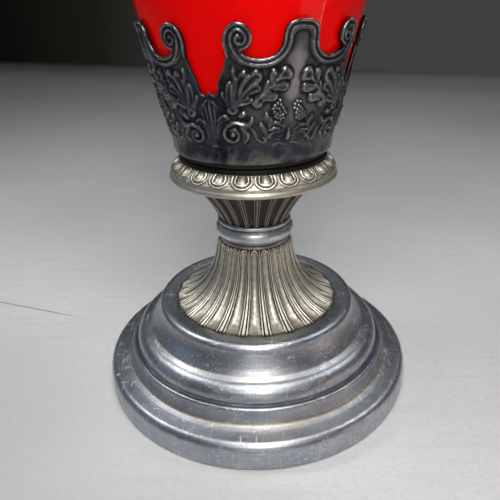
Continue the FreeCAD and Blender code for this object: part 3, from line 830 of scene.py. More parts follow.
def relief_motif(u, z):
    R = Relief(u, z)
    sd = crown_sdf(u, z)
    # ---- oak leaf beside the plain field
    R.pad([(-90.8, 129.6), (-89.0, 128.5), (-87.0, 128.4), (-85.4, 129.1), (-84.6, 130.2), (-83.2, 130.7), (-80.6, 130.5), (-78.3, 130.8), (-76.9, 132.0), (-77.1, 133.1), (-77.9, 133.9),
           (-76.0, 133.7), (-73.6, 133.9), (-72.0, 134.8), (-71.7, 136.0), (-72.6, 136.9), (-73.7, 137.4), (-72.0, 137.3), (-70.6, 138.0), (-70.2, 139.2), (-71.3, 140.7), (-73.4, 141.5),
           (-75.4, 141.3), (-76.8, 140.3), (-77.5, 139.5), (-78.2, 140.4), (-79.6, 141.0), (-81.0, 140.7), (-81.9, 139.6), (-82.1, 138.2), (-83.0, 137.5), (-84.4, 136.6), (-85.4, 135.0),
           (-87.2, 133.6), (-89.6, 132.2), (-91.3, 130.8)], 0.62, 0.75, 0.20, 0.10)
    R.stroke([(-73.2, 137.25), (-75.6, 137.3), (-78.6, 136.7)], [0.55, 0.42, 0.25], 0.50, "carve")
    R.stroke([(-77.4, 133.7), (-79.4, 134.0), (-82.0, 134.8)], [0.55, 0.42, 0.25], 0.50, "carve")
    R.stroke([(-77.4, 139.8), (-78.2, 138.8), (-79.4, 137.9)], [0.5, 0.4, 0.25], 0.50, "carve")
    R.stroke([(-84.6, 130.0), (-85.6, 130.9), (-87.2, 131.6)], [0.5, 0.4, 0.25], 0.45, "carve")
    R.stroke([(-82.2, 138.0), (-81.6, 136.9), (-82.6, 136.0)], [0.4, 0.35, 0.2], 0.40, "carve")
    R.blob(-74.2, 139.3, 1.25, -0.34, ry=0.95)
    R.blob(-72.4, 138.3, 0.8, -0.12, ry=0.5)
    R.blob(-80.2, 139.2, 0.85, -0.25, ry=1.0)
    R.blob(-74.6, 135.5, 1.5, -0.12, ry=0.55)
    R.blob(-79.6, 132.1, 1.3, -0.15, ry=0.6, rot=15)
    R.stroke([(-90.6, 129.9), (-86.2, 132.3), (-81.6, 135.2), (-77.6, 137.6), (-75.2, 138.9)], [0.34, 0.40, 0.34, 0.2], 0.30, "add")
    R.stroke([(-80.4, 136.0), (-78.8, 136.25), (-77.2, 136.2)], [0.3, 0.42, 0.3], 0.32, "add")
    R.stroke([(-86.6, 132.8), (-84.4, 133.1), (-82.4, 132.9)], [0.3, 0.42, 0.3], 0.32, "add")
    R.stroke([(-89.0, 130.0), (-88.0, 130.3), (-87.2, 130.1)], [0.25, 0.35, 0.2], 0.30, "add")
    # ---- acanthus spray between the scroll and the leaf
    R.pad([(-103.4, 129.4), (-104.2, 132.4), (-103.8, 135.2), (-102.6, 137.0), (-101.0, 137.5), (-100.3, 136.4), (-100.2, 138.6), (-100.3, 140.6), (-99.4, 141.9), (-98.4, 141.2),
           (-98.2, 139.4), (-97.6, 138.4), (-96.6, 139.8), (-94.8, 140.6), (-93.0, 140.4), (-92.0, 139.4), (-90.2, 140.6), (-88.0, 140.9), (-86.2, 140.0), (-85.6, 138.4), (-86.2, 136.9),
           (-87.6, 136.2), (-86.2, 136.0), (-85.9, 134.8), (-87.2, 133.8), (-89.6, 133.2), (-92.0, 132.6), (-90.9, 131.8), (-90.6, 130.8), (-91.6, 130.1), (-94.0, 129.5), (-97.0, 129.0)],
          0.50, 0.8, 0.10, 0.08)
    for P, w in (([(-98.6, 131.4), (-97.9, 134.0), (-97.2, 136.6), (-95.6, 138.8)], [0.3, 0.55, 0.75, 0.7]),
                 ([(-96.8, 132.2), (-94.2, 135.0), (-91.2, 137.4), (-88.4, 138.8), (-87.2, 138.5)], [0.3, 0.5, 0.8, 0.95, 0.6]),
                 ([(-96.0, 131.4), (-92.8, 133.4), (-89.8, 134.8), (-87.8, 135.2)], [0.3, 0.55, 0.8, 0.6]),
                 ([(-96.2, 130.3), (-94.0, 130.9), (-92.0, 131.3)], [0.25, 0.45, 0.35]),
                 ([(-102.2, 131.0), (-102.4, 133.6), (-101.8, 136.0)], [0.35, 0.75, 0.55]),
                 ([(-99.8, 134.0), (-99.2, 137.2), (-99.3, 140.4)], [0.2, 0.35, 0.35])):
        R.stroke(P, w, 0.36, "carve")
    for P, w, h in (([(-96.4, 139.5), (-95.4, 140.1), (-93.9, 140.3), (-92.8, 139.9)], [0.3, 0.45, 0.5, 0.3], 0.34),
                    ([(-97.4, 133.2), (-95.8, 136.0), (-93.8, 138.0), (-92.2, 139.2)], [0.25, 0.36, 0.40, 0.3], 0.26),
                    ([(-90.4, 140.1), (-88.6, 140.6), (-86.9, 140.1), (-86.1, 138.8), (-86.5, 137.3)], [0.3, 0.45, 0.45, 0.42, 0.3], 0.32),
                    ([(-97.0, 132.0), (-94.0, 134.4), (-91.2, 136.2), (-88.6, 136.5), (-86.7, 135.9), (-86.6, 134.6), (-88.6, 133.6)], [0.25, 0.36, 0.42, 0.42, 0.42, 0.4, 0.3], 0.30),
                    ([(-97.6, 129.5), (-94.6, 129.9), (-92.2, 130.4), (-91.1, 131.3), (-91.7, 132.0)], [0.3, 0.4, 0.48, 0.48, 0.3], 0.40),
                    ([(-102.8, 136.3), (-101.8, 137.0), (-100.9, 137.1)], [0.3, 0.42, 0.35], 0.36),
                    ([(-99.9, 141.0), (-99.3, 141.6), (-98.8, 141.2)], [0.35, 0.45, 0.3], 0.34),
                    ([(-103.4, 130.6), (-103.8, 133.2), (-103.0, 135.4)], [0.25, 0.36, 0.3], 0.24),
                    ([(-101.0, 131.2), (-100.9, 133.8), (-100.6, 136.0), (-98.6, 138.6)], [0.25, 0.36, 0.3, 0.25], 0.24)):
        R.stroke(P, [q * 0.88 for q in w], h * 0.72, "add")
    R.pad([(-104.0, 128.6), (-104.9, 130.8), (-106.6, 132.8), (-106.3, 134.0), (-105.2, 133.6), (-104.2, 132.0), (-103.2, 129.6)], 0.45, 0.5, 0.08)
    R.blob(-105.7, 133.4, 0.55, 0.85, ry=0.45, rot=-30)
    R.pad([(-98.4, 125.6), (-98.2, 126.5), (-96.4, 127.2), (-94.4, 127.3), (-93.6, 126.6), (-94.6, 125.6), (-96.6, 125.1)], 0.50, 0.5, 0.12)
    R.blob(-96.2, 126.1, 1.0, -0.25, ry=0.35)
    R.stroke([(-97.2, 126.5), (-95.6, 127.0), (-94.4, 126.9)], [0.3, 0.4, 0.3], 0.3, "add")
    # knob with a raised ring
    a = np.radians(np.linspace(0, 360, 25))
    R.blob(-101.0, 128.0, 2.25, 0.55, ry=1.75)
    ring = [(-101.0 + 2.3 * math.cos(t), 128.0 + 1.3 * math.sin(t)) for t in a]
    R.stroke(ring, 0.42, 0.26, "add")
    R.blob(-101.0, 128.0, 1.0, -0.30, ry=0.8)
    # ---- lower volute with boss, its top limb and flick
    sp = []
    for k in range(40):
        t = k / 39.0
        angd = math.radians(88 + 385 * t)
        rr = 3.55 - 1.7 * t
        sp.append((-102.2 + math.degrees(rr * math.cos(angd) / RU), 119.35 + rr * 0.92 * math.sin(angd)))
    R.stroke(sp, [0.55, 0.62, 0.60, 0.5], 0.55)
    R.blob(-101.9, 119.4, 1.25, 0.85, ry=1.15)
    R.stroke([(-105.0, 122.9), (-102.4, 123.4), (-98.8, 123.3), (-95.8, 122.9), (-93.4, 123.2), (-91.6, 124.2), (-90.6, 125.2)], [0.35, 0.5, 0.6, 0.62, 0.55, 0.5, 0.35], 0.85)
    R.stroke([(-97.6, 122.4), (-95.0, 121.9), (-92.8, 122.3), (-91.0, 123.3), (-90.1, 124.4)], [0.3, 0.42, 0.45, 0.42, 0.25], 0.55)
    R.stroke([(-97.2, 121.8), (-94.9, 120.9), (-93.4, 119.6), (-93.5, 118.1), (-95.6, 116.5)], [0.4, 0.62, 0.66, 0.6, 0.35], 0.62)
    R.stroke([(-96.8, 121.0), (-95.6, 119.6), (-95.5, 118.3), (-96.4, 117.1)], [0.3, 0.42, 0.42, 0.25], 0.42)
    R.stroke([(-92.4, 121.9), (-90.2, 120.8), (-88.9, 119.4), (-88.0, 117.7), (-86.8, 116.9)], [0.25, 0.42, 0.42, 0.40, 0.25], 0.42)
    R.stroke([(-110.2, 124.0), (-108.2, 125.4), (-106.4, 125.9), (-105.0, 125.6), (-103.4, 124.7)], [0.3, 0.5, 0.55, 0.55, 0.3], 0.60)
    R.stroke([(-108.4, 124.0), (-106.4, 124.5), (-104.6, 124.1)], [0.2, 0.34, 0.2], 0.35)
    R.stroke([(-111.9, 117.0), (-111.3, 120.4), (-110.2, 122.6), (-108.4, 123.6)], [0.35, 0.5, 0.45, 0.3], 0.42)
    R.stroke([(-109.6, 116.6), (-110.3, 119.4), (-109.4, 121.9)], [0.25, 0.36, 0.25], 0.30)
    R.stroke([(-106.0, 115.0), (-103.0, 114.7), (-100.6, 114.9)], [0.2, 0.32, 0.2], 0.22)
    # ---- flower and petals below the berries
    R.pad([(-84.6, 125.5), (-83.6, 126.7), (-82.3, 127.0), (-81.8, 126.0), (-82.6, 125.3)], 0.5, 0.5, 0.1)
    R.stroke([(-83.2, 125.3), (-81.4, 125.0), (-80.5, 123.9), (-80.7, 122.6), (-81.3, 121.5)], [0.45, 0.80, 0.80, 0.65, 0.35], 0.66, "hollow")
    R.stroke([(-84.6, 124.7), (-82.9, 124.0), (-81.9, 122.7), (-81.9, 121.5)], [0.2, 0.32, 0.32, 0.2], 0.34)
    R.blob(-85.8, 122.9, 0.75, 0.80, ry=0.6)
    R.stroke([(-85.8, 122.9), (-84.5, 122.0), (-83.4, 120.7), (-82.7, 119.3), (-81.8, 118.5)], [0.55, 0.66, 0.72, 0.66, 0.5], 0.60, "hollow")
    R.stroke([(-86.7, 122.2), (-85.3, 121.0), (-84.2, 119.7)], [0.2, 0.3, 0.2], 0.30)
    R.stroke([(-79.4, 122.7), (-77.6, 123.4), (-75.8, 123.4), (-74.5, 124.0)], [0.3, 0.5, 0.5, 0.3], 0.62)
    R.stroke([(-77.6, 122.6), (-75.4, 122.7), (-73.6, 122.3), (-72.4, 121.6)], [0.25, 0.38, 0.38, 0.25], 0.42)
    R.stroke([(-81.3, 120.9), (-79.8, 121.1), (-77.6, 121.5), (-75.4, 121.2)], [0.45, 0.55, 0.45, 0.25], 0.70)
    R.stroke([(-81.8, 118.5), (-79.8, 119.5), (-77.6, 120.2), (-75.2, 120.1)], [0.5, 0.5, 0.42, 0.25], 0.50)
    R.pad([(-83.4, 117.6), (-81.8, 119.0), (-80.0, 118.8), (-79.4, 117.9), (-81.4, 117.5)], 0.40, 0.5)
    R.stroke([(-87.2, 117.6), (-86.2, 116.9), (-85.2, 116.5)], [0.3, 0.42, 0.25], 0.50)
    R.stroke([(-84.3, 118.1), (-83.0, 117.5), (-83.2, 116.8), (-84.6, 116.5)], [0.45, 0.45, 0.42, 0.25], 0.62)
    # soften the leaves a little; berries, fronds and the rolled border stay crisp
    b_ = (2 * R.h + np.roll(R.h, 1, 1) + np.roll(R.h, -1, 1)) / 4
    b_[1:-1] = (b_[:-2] + 2 * b_[1:-1] + b_[2:]) / 4
    R.h = b_ * 1.40
    # ---- berry clusters, one on each side of the middle
    R.blob(-75.9, 127.3, 2.7, 0.30, mirror=False, ry=3.6)
    for th_, z_ in ((-75.8, 130.8), (-77.1, 129.8), (-78.7, 129.2), (-79.6, 128.2), (-77.6, 128.4), (-78.7, 127.0), (-75.1, 129.3), (-73.9, 128.4), (-76.2, 128.2), (-75.4, 127.2), (-73.0, 127.4),
                    (-72.1, 126.6), (-73.9, 126.0), (-77.0, 126.3), (-75.5, 125.8), (-78.2, 125.6), (-76.8, 125.0), (-75.0, 124.7), (-73.4, 125.0)):
        R.blob(th_, z_, 0.60, 1.10, mirror=False)
    R.pad([(-66.6, 124.6), (-65.9, 127.2), (-64.4, 128.4), (-62.6, 128.0), (-60.4, 126.8), (-59.0, 125.2), (-59.8, 124.0), (-62.4, 123.4), (-65.0, 123.6)], 0.42, 0.8, 0.0, 0.15, mirror=False)
    for th_, z_ in ((-66.0, 130.0), (-67.1, 129.0), (-63.8, 129.8), (-64.9, 128.6), (-67.3, 127.8), (-65.6, 127.3), (-63.4, 128.2), (-62.2, 127.4), (-64.0, 126.8), (-65.8, 126.0), (-60.9, 126.3),
                    (-62.5, 126.0), (-64.3, 125.3), (-60.2, 125.0), (-62.0, 124.6), (-65.6, 124.6), (-63.6, 124.0)):
        R.blob(th_, z_, 0.54, 1.05, mirror=False)
    # ---- small sprig in the middle below, and its wavy ground line
    R.pad([(-70.8, 116.8), (-71.1, 118.6), (-70.2, 120.6), (-69.3, 121.2), (-68.5, 120.2), (-68.3, 118.4), (-69.0, 116.8)], 0.80, 0.7, 0.0, 0.12, mirror=False)
    R.blob(-67.0, 118.2, 0.75, 0.45, mirror=False, ry=0.4)
    R.blob(-66.8, 117.1, 0.6, 0.40, mirror=False, ry=0.35)
    R.blob(-75.6, 117.2, 1.0, 0.36, mirror=False, ry=0.5)
    R.stroke([(-76.4, 118.6), (-74.6, 118.2), (-73.0, 118.9)], [0.2, 0.34, 0.2], 0.3, mirror=False)
    R.stroke([(-79.0, 114.9), (-77.0, 115.6), (-74.8, 116.0), (-72.4, 115.4), (-69.6, 115.0)], [0.25, 0.45, 0.5, 0.42, 0.25], 0.34, mirror=False)
    R.stroke([(-68.2, 116.0), (-65.4, 115.7), (-62.6, 115.2), (-60.6, 114.8)], [0.25, 0.42, 0.42, 0.25], 0.30, mirror=False)
    # ---- palmette under the notch: a bundle of upright fronds under a chevron
    for side in (0.0, 90.0):
        c0 = -114.0 + side
        for off0, off1, off2, zt, w, h in ((0.0, 0.3, 0.0, 130.4, 0.95, 0.50), (1.0, 2.0, 2.6, 129.2, 0.72, 0.40), (-1.1, -1.9, -2.4, 129.4, 0.72, 0.40),
                                           (2.0, 3.7, 5.0, 126.6, 0.66, 0.36), (-2.0, -3.6, -4.9, 126.9, 0.66, 0.36)):
            P = np.array([(U(c0 + a_), b_) for a_, b_ in ((off0 * 0.8, 114.6), (off0, 117.5), (off1, 122.5), (off2, zt - 2.0), (off2, zt))])
            R._stroke(P, [w * 0.5, w, w, w * 0.9, w * 0.5], h, "soft")
        for sg in (1, -1):
            P = np.array([(U(c0 + sg * a_), b_) for a_, b_ in ((0.1, 131.5), (1.6, 130.8), (3.0, 129.8), (4.2, 128.9))])
            R._stroke(P, [0.45, 0.62, 0.60, 0.35], 0.42, "soft")
        R.h = np.maximum(R.h, 0.55 * np.clip(1 - ((u - U(c0 + 2.1)) / 0.5) ** 2 - ((z - 130.5) / 0.45) ** 2, 0, 1) ** 0.5)
    # ---- rolled border: dips and arch (from the left hook over the arch to the right hook)
    i_hook = 23
    dip = np.vstack([ol[i_hook + 1:], (ol[::-1] * np.array([-1, 1]))[1:-(i_hook + 1)]])
    dip = spline(dip, 4)
    e1 = offset_line(dip, 0.50)
    e2 = offset_line(dip, 1.95)
    e3 = offset_line(dip, 2.55)
    dd, _ = dist_poly(u, z, dip)
    R.h = np.maximum(R.h, 0.30 * (1 - sstep(dd, 2.4, 3.1)) * (z > 141.0) * (sd > -0.2))
    R._stroke(e1, 0.58, 0.72, "round", False)
    R._stroke(e2, 0.55, 0.86, "round", False)
    R._stroke(e3, 0.50, 0.55, "round", False)
    # ---- scrolls
    rim = ol[8:i_hook + 1]
    for sg in (1, -1):
        P = spline(rim, 4)
        P = offset_line(P, 0.50)
        P = P * np.array([sg, 1])
        R._stroke(P, [0.35, 0.62, 0.66, 0.66, 0.55], 0.76, "round", False)
    for sg in (1, -1):
        for P0, w, h in (([(-95.0, 142.6), (-98.0, 144.4), (-100.7, 147.0), (-101.3, 148.6)], [0.35, 0.45, 0.30], 0.45),
                         ([(-88.0, 142.2), (-91.0, 142.5), (-94.4, 143.6), (-97.2, 145.4), (-98.9, 147.5), (-99.6, 149.6), (-99.2, 151.3), (-97.6, 152.6), (-95.4, 152.6),
                           (-93.5, 151.6), (-92.9, 150.2), (-93.6, 149.0), (-95.3, 148.4), (-96.9, 149.0), (-97.3, 150.2), (-96.4, 151.0), (-95.4, 150.5)],
                          [0.6, 0.6, 0.6, 0.58, 0.5, 0.5], 0.85),
                         ([(-73.4, 146.8), (-72.9, 149.6), (-71.5, 151.6), (-69.5, 152.5), (-67.5, 152.6)], [0.40, 0.50, 0.50], 0.60)):
            R._stroke(np.array(uz(P0)) * np.array([sg, 1]), w, h, "round")
    inner = 0.25 * sstep(sd, 0.0, 0.4) * (np.hypot(np.abs(u) - abs(U(-96.3)), z - 150.6) < 4.2)
    R.h = np.maximum(R.h, inner)
    # plain raised rim along the notch sides
    dn, _ = dist_poly(u, z, np.vstack([OUTLINE]))
    R.h = np.maximum(R.h, 0.16 * (1 - sstep(dn, 0.35, 0.8)) * (z < 145))
    # ---- plain field in the middle, kept brighter by handling
    R.sheen(-68.2, 139.5, 3.3, 10.5, 1.0)
    R.sheen(-69.3, 133.8, 3.4, 4.2, 1.0)
    R.sheen(-68.5, 143.8, 4.2, 3.4, 0.8)
    R.sheen(-68.2, 126.0, 1.5, 3.4, 0.35)
    return R.h, R.pol, sd


def crown_cup():
    per = 164
    ncol = per * MOTIFS
    zr = np.arange(109.0, 155.9, 0.335)
    nz = len(zr)
    # one motif's grid, from the notch's middle to the next
    uu = (np.arange(per) / per) * 2 * HALF - HALF
    Ug, Zg = np.meshgrid(uu, zr)
    h1, p1, s1 = relief_motif(Ug, Zg)
    H = np.tile(h1, (1, MOTIFS))
    Pq = np.tile(p1, (1, MOTIFS))
    SD = np.tile(s1, (1, MOTIFS))
    SD = np.where(np.abs(SD) < 0.03, np.where(SD < 0, -0.03, 0.03), SD)
    # long shallow dents so that the sheet isn't perfect
    aa = np.arange(ncol) / ncol * 2 * np.pi
    dent = 0.06 * np.sin(3 * aa[None, :] + 0.05 * (zr[:, None] - 110)) + 0.05 * np.sin(7 * aa[None, :] + 1.3 + 0.11 * (zr[:, None] - 110))
    blur = H.copy()
    for _ in range(2):
        b = (blur + np.roll(blur, 1, 1) + np.roll(blur, -1, 1)) / 3
        b[1:-1] = (b[:-2] + b[1:-1] + b[2:]) / 3
        blur = b
    wide = H.copy()
    for _ in range(9):
        b = (wide + np.roll(wide, 1, 1) + np.roll(wide, -1, 1)) / 3
        b[1:-1] = (b[:-2] + b[1:-1] + b[2:]) / 3
        wide = b
    cav = (wide - blur) * 2.0 + (blur - H) * 3.0
    cav = cav - 0.35 * np.clip(1 - np.abs(SD - 0.30) / 0.4, 0, 1)         # bright worn edge
    rel = np.clip(blur / 0.9, 0, 1)
    th = np.radians(NOTCH_ANGLE) + aa
    r0 = np.interp(zr, CUP[:, 1], CUP[:, 0])
    r0 = gsmooth(r0, 4.0)
    slope = np.gradient(r0, zr)
    cb = 1 / np.sqrt(1 + slope ** 2)
    sb = slope * cb
    hh = H + dent

    # vertices of the wall (outer/inner) with clipped edges
    ins = SD > 0
    vid = -np.ones(SD.shape, int)
    vid[ins] = np.arange(ins.sum())
    recs = [np.stack([np.where(ins)[0].astype(float), np.where(ins)[1].astype(float)], -1)]
    nv = int(ins.sum())
    hx = ins != np.roll(ins, -1, 1)
    hid = -np.ones(SD.shape, int)
    hid[hx] = nv + np.arange(hx.sum())
    ii, jj = np.where(hx)
    a, b = SD[ii, jj], SD[ii, (jj + 1) % ncol]
    recs.append(np.stack([ii.astype(float), jj + a / (a - b)], -1))
    nv += int(hx.sum())
    vx = np.zeros(SD.shape, bool)
    vx[:-1] = ins[:-1] != ins[1:]
    wid = -np.ones(SD.shape, int)
    wid[vx] = nv + np.arange(vx.sum())
    ii, jj = np.where(vx)
    a, b = SD[ii, jj], SD[ii + 1, jj]
    recs.append(np.stack([ii + a / (a - b), jj.astype(float)], -1))
    nv += int(vx.sum())
    rec = np.vstack(recs)

    def samp(A):
        i0 = np.floor(rec[:, 0]).astype(int)
        j0 = np.floor(rec[:, 1]).astype(int)
        fi, fj = rec[:, 0] - i0, rec[:, 1] - j0
        i1 = np.minimum(i0 + 1, nz - 1)
        j1 = (j0 + 1) % ncol
        j0 = j0 % ncol
        return (A[i0, j0] * (1 - fi) * (1 - fj) + A[i1, j0] * fi * (1 - fj) + A[i0, j1] * (1 - fi) * fj + A[i1, j1] * fi * fj)
    rz = np.interp(rec[:, 0], np.arange(nz), zr)
    rr = np.interp(rec[:, 0], np.arange(nz), r0)
    c_, s_ = np.interp(rec[:, 0], np.arange(nz), cb), np.interp(rec[:, 0], np.arange(nz), sb)
    th_ = np.radians(NOTCH_ANGLE) + rec[:, 1] / ncol * 2 * np.pi
    hv = samp(hh)
    ro, zo = rr + hv * c_, rz - hv * s_
    ri, zi = rr - 1.05 * c_ + 0.0 * hv, rz + 1.05 * s_ * 0.0
    VO = np.stack([ro * np.cos(th_), ro * np.sin(th_), zo], -1)
    VI = np.stack([ri * np.cos(th_), ri * np.sin(th_), zi], -1)
    cv, rv, pv = samp(cav), samp(rel), samp(Pq)

    faces = []
    J = np.arange(ncol)
    jn = (J + 1) % ncol
    full = []
    for i in range(nz - 1):
        A, B = ins[i], ins[i + 1]
        f = A & np.roll(A, -1) & B & np.roll(B, -1)
        k = J[f]
        full.append(np.stack([vid[i, k], vid[i, jn[k]], vid[i + 1, jn[k]], vid[i + 1, k]], -1))
        anyin = A | np.roll(A, -1) | B | np.roll(B, -1)
        for j in J[anyin & ~f]:
            j2 = (j + 1) % ncol
            cor = [(ins[i, j], vid[i, j]), (ins[i, j2], vid[i, j2]), (ins[i + 1, j2], vid[i + 1, j2]), (ins[i + 1, j], vid[i + 1, j])]
            edg = [hid[i, j], wid[i, j2], hid[i + 1, j], wid[i, j]]
            poly = []
            for q in range(4):
                if cor[q][0]:
                    poly.append(int(cor[q][1]))
                if cor[q][0] != cor[(q + 1) % 4][0]:
                    poly.append(int(edg[q]))
            if len(poly) > 2:
                faces.append(poly)
    full = np.concatenate(full)
    # bottom rows of the cup: turn under to the floor, outside and inside
    bot_o = [(31.9, 108.45), (31.55, 107.8), (31.0, 107.45), (30.2, 107.32), (20.0, 107.32), (3.3, 107.32)]
    bot_i = [(30.55, 109.2), (30.0, 108.7), (29.2, 108.52), (20.0, 108.5), (14.0, 108.5), (3.3, 108.5)]
    V = [VO, VI]
    nO = len(VO)
    loops, starts = [], []

    def addf(p):
        starts.append(len(loops))
        loops.extend(p)
    base = 2 * nO
    prev_o = list(vid[0])
    prev_i = [v + nO for v in vid[0]]
    cs, sn = np.cos(th), np.sin(th)
    extra_c = []
    for (ra, za), (rb, zb) in zip(bot_o, bot_i):
        V.append(np.stack([ra * cs, ra * sn, np.full(ncol, za)], -1))
        V.append(np.stack([rb * cs, rb * sn, np.full(ncol, zb)], -1))
        io = [base + k for k in range(ncol)]
        ix = [base + ncol + k for k in range(ncol)]
        for k in range(ncol):
            k2 = (k + 1) % ncol
            addf((io[k], io[k2], prev_o[k2], prev_o[k]))
            addf((ix[k2], ix[k], prev_i[k], prev_i[k2]))
        base += 2 * ncol
        prev_o, prev_i = io, ix
        extra_c.append(np.full(2 * ncol, 0.1))
    for k in range(ncol):
        k2 = (k + 1) % ncol
        addf((prev_i[k], prev_i[k2], prev_o[k2], prev_o[k]))
    for q in full:
        addf(tuple(q))
        addf((q[3] + nO, q[2] + nO, q[1] + nO, q[0] + nO))
    for p in faces:
        addf(tuple(p))
        addf(tuple(v + nO for v in reversed(p)))
    # cut edge of the crown, closing outside to inside
    from collections import Counter
    cnt = Counter()
    direc = {}
    for p in faces:
        for a_, b_ in zip(p, p[1:] + p[:1]):
            cnt[(min(a_, b_), max(a_, b_))] += 1
            direc[(min(a_, b_), max(a_, b_))] = (a_, b_)
    fullset = set()
    near = set(v for p in faces for v in p)
    for q in full:
        for a_, b_ in ((q[0], q[1]), (q[1], q[2]), (q[2], q[3]), (q[3], q[0])):
            if a_ in near and b_ in near:
                cnt[(min(a_, b_), max(a_, b_))] += 1
                direc.setdefault((min(a_, b_), max(a_, b_)), (int(a_), int(b_)))
    for e, c in cnt.items():
        if c == 1:
            a_, b_ = direc[e]
            if a_ < len(VO) and b_ < len(VO) and not (zo[a_] < 109.5 and zo[b_] < 109.5):
                # only edges that lie on the outline (their vertices are clip vertices)
                if a_ >= int(ins.sum()) and b_ >= int(ins.sum()):
                    addf((b_, a_, a_ + nO, b_ + nO))
    Vall = np.vstack(V)
    ex = np.concatenate(extra_c)
    att = {"cav": np.r_[cv, cv * 0 + 0.1, ex], "relief": np.r_[rv, rv * 0, ex * 0], "polish": np.r_[pv, pv * 0, ex * 0]}
    ob = make_mesh("crown_cup_embossed", Vall, loops, starts, att)
    return put(ob, M_PEW, "stand", ["crown_cup"])


crown_cup()

# ------------------------------------------------------------------- the glass
GL = [(28.7, 116.9), (30.2, 119.0), (31.6, 122.0), (33.2, 127.0), (35.0, 133.0), (36.0, 137.0), (36.7, 140.0), (37.95, 145.0),
      (39.2, 150.0), (40.45, 155.0), (41.7, 160.0), (42.8, 165.0), (45.75, 180.0), (49.3, 200.0), (52.6, 220.0), (54.0, 229.6)]
go = [(0.0, 116.1), (8.0, 115.9), (15.0, 115.3), (18.0, 114.55), (24.8, 114.5), (27.2, 115.2)] + GL + [(54.15, 230.8), (53.7, 231.7), (52.7, 232.0), (51.7, 231.6), (51.15, 230.6)]
gin = [(r - 2.8, z) for r, z in GL[::-1] if z > 121.5 and z < 229] + [(28.0, 120.6), (26.6, 119.75), (24.8, 119.52), (0.0, 119.5)]
pg = np.vstack([profile(go, 1.0, 0.45), profile([(51.0, 229.8)] + gin, 1.3, 0.5)])
glass = surf_of_rev("ruby_glass_blown", pg[:, 0], pg[:, 1], 240, False)
put(glass, M_RUBY, "glass", ["ruby_glass"])

# ------------------------------------------------------------------ the candle
zc = 119.5
cs = [(0.0, zc + 0.02), (21.5, zc + 0.02), (22.8, zc + 0.1), (23.8, zc + 0.8), (24.0, zc + 2.0), (24.0, zc + 40.0), (24.0, zc + 74.6), (24.3, zc + 75.1), (24.85, zc + 75.4), (24.85, zc + 75.9),
      (24.3, zc + 76.0), (23.3, zc + 75.7), (23.05, zc + 74.6), (23.05, zc + 40.0), (23.05, zc + 1.6), (22.6, zc + 1.02), (0.0, zc + 0.98)]
case = surf_of_rev("candle_case_shell", profile(cs, 1.2, 0.15)[:, 0], profile(cs, 1.2, 0.15)[:, 1], 128, False)
put(case, M_CASE, "candle", ["candle_case"])
zw = zc + 68.0
wx = [(0.0, zc + 1.55), (9.2, zc + 1.55), (9.4, zc + 1.05), (22.2, zc + 1.05), (22.9, zc + 1.8), (22.9, zc + 40.0), (22.9, zw + 0.9), (22.3, zw + 0.5), (20.0, zw + 0.05), (14.0, zw - 0.25),
      (6.0, zw - 0.6), (2.4, zw - 0.75), (1.5, zw - 0.35), (0.0, zw - 0.3)]
px = profile(wx, 0.9, 0.3)
wr = np.repeat(px[:, 0][:, None], 128, 1)
wz = np.repeat(px[:, 1][:, None], 128, 1)
wa = np.arange(128) / 128 * 2 * np.pi
wz[px[:, 1] > zw - 1.0] += (0.12 * np.sin(3 * wa + 0.4) + 0.07 * np.sin(5 * wa))[None, :] * (wr[px[:, 1] > zw - 1.0] / 23.0)
wax = surf_of_rev("candle_wax_body", wr, wz, 128, False)
put(wax, M_WAX, "candle", ["candle_wax"])

# braided wick: slightly bent, three-lobed section
nw, mw = 60, 36
wv = []
for i in range(nw):
    t = i / (nw - 1)
    z = zw - 3.0 + t * 11.9
    cx = 0.9 * max(0, t - 0.4) ** 2 * 3.0
    for j in range(mw):
        a_ = 2 * math.pi * j / mw
        r_ = (0.86 + 0.20 * math.cos(3 * a_ + t * 26.0)) * (1.0 if t < 0.94 else math.sqrt(max(0.02, 1 - ((t - 0.94) / 0.062) ** 2)))
        wv.append((cx + r_ * math.cos(a_), r_ * math.sin(a_), z))
wq = [[i * mw + j, i * mw + (j + 1) % mw, (i + 1) * mw + (j + 1) % mw, (i + 1) * mw + j] for i in range(nw - 1) for j in range(mw)]
lp = [k for q in wq for k in q]
st = [4 * k for k in range(len(wq))]
st.append(len(lp)); lp += [j for j in reversed(range(mw))]
st.append(len(lp)); lp += [(nw - 1) * mw + j for j in range(mw)]
wick = make_mesh("wick_braided", np.array(wv), lp, st)
put(wick, M_WICK, "candle", ["wick"])

# --------------------------------------------------------------- floor, lights
me = bpy.data.meshes.new("floor")
me.from_pydata([(-1.469, 1.899, 0), (-1.4, -0.9, 0), (1.4, -0.9, 0), (1.215, 0.709, 0)], [], [(0, 1, 2, 3)])
floor = bpy.data.objects.new("floor", me)
scene.collection.objects.link(floor)
fm, nt, b = mat_new("pale_floor")
g = G(nt)
v = g.coord()
mp = g.node("ShaderNodeMapping")
mp.inputs["Rotation"].default_value = (0, 0, 0.338)
mp.inputs["Scale"].default_value = (3.0, 26.0, 1.0)
g.link(v, mp.inputs["Vector"])
strokes = g.noise(mp.outputs["Vector"], 9.0, 5.0, 0.6)
sp_ = g.node("ShaderNodeSeparateXYZ")
g.link(v, sp_.inputs[0])
seam = g.math("ABSOLUTE", g.math("ADD", g.math("ADD", g.math("MULTIPLY", sp_.outputs["X"], 0.332), g.math("MULTIPLY", sp_.outputs["Y"], 0.943)), -0.003))
seam = g.math("MULTIPLY", g.remap(seam, 0.0002, 0.0007, 1.0, 0.0), g.remap(sp_.outputs["X"], -0.118, -0.095, 1.0, 0.0))
far = g.math("SUBTRACT", 1.1404, g.math("ADD", g.math("MULTIPLY", sp_.outputs["X"], 0.405), g.math("MULTIPLY", sp_.outputs["Y"], 0.914)))
grain = g.noise(v, 420.0, 4.0, 0.65)
stain = g.noise(v, 7.0, 4.0, 0.55)
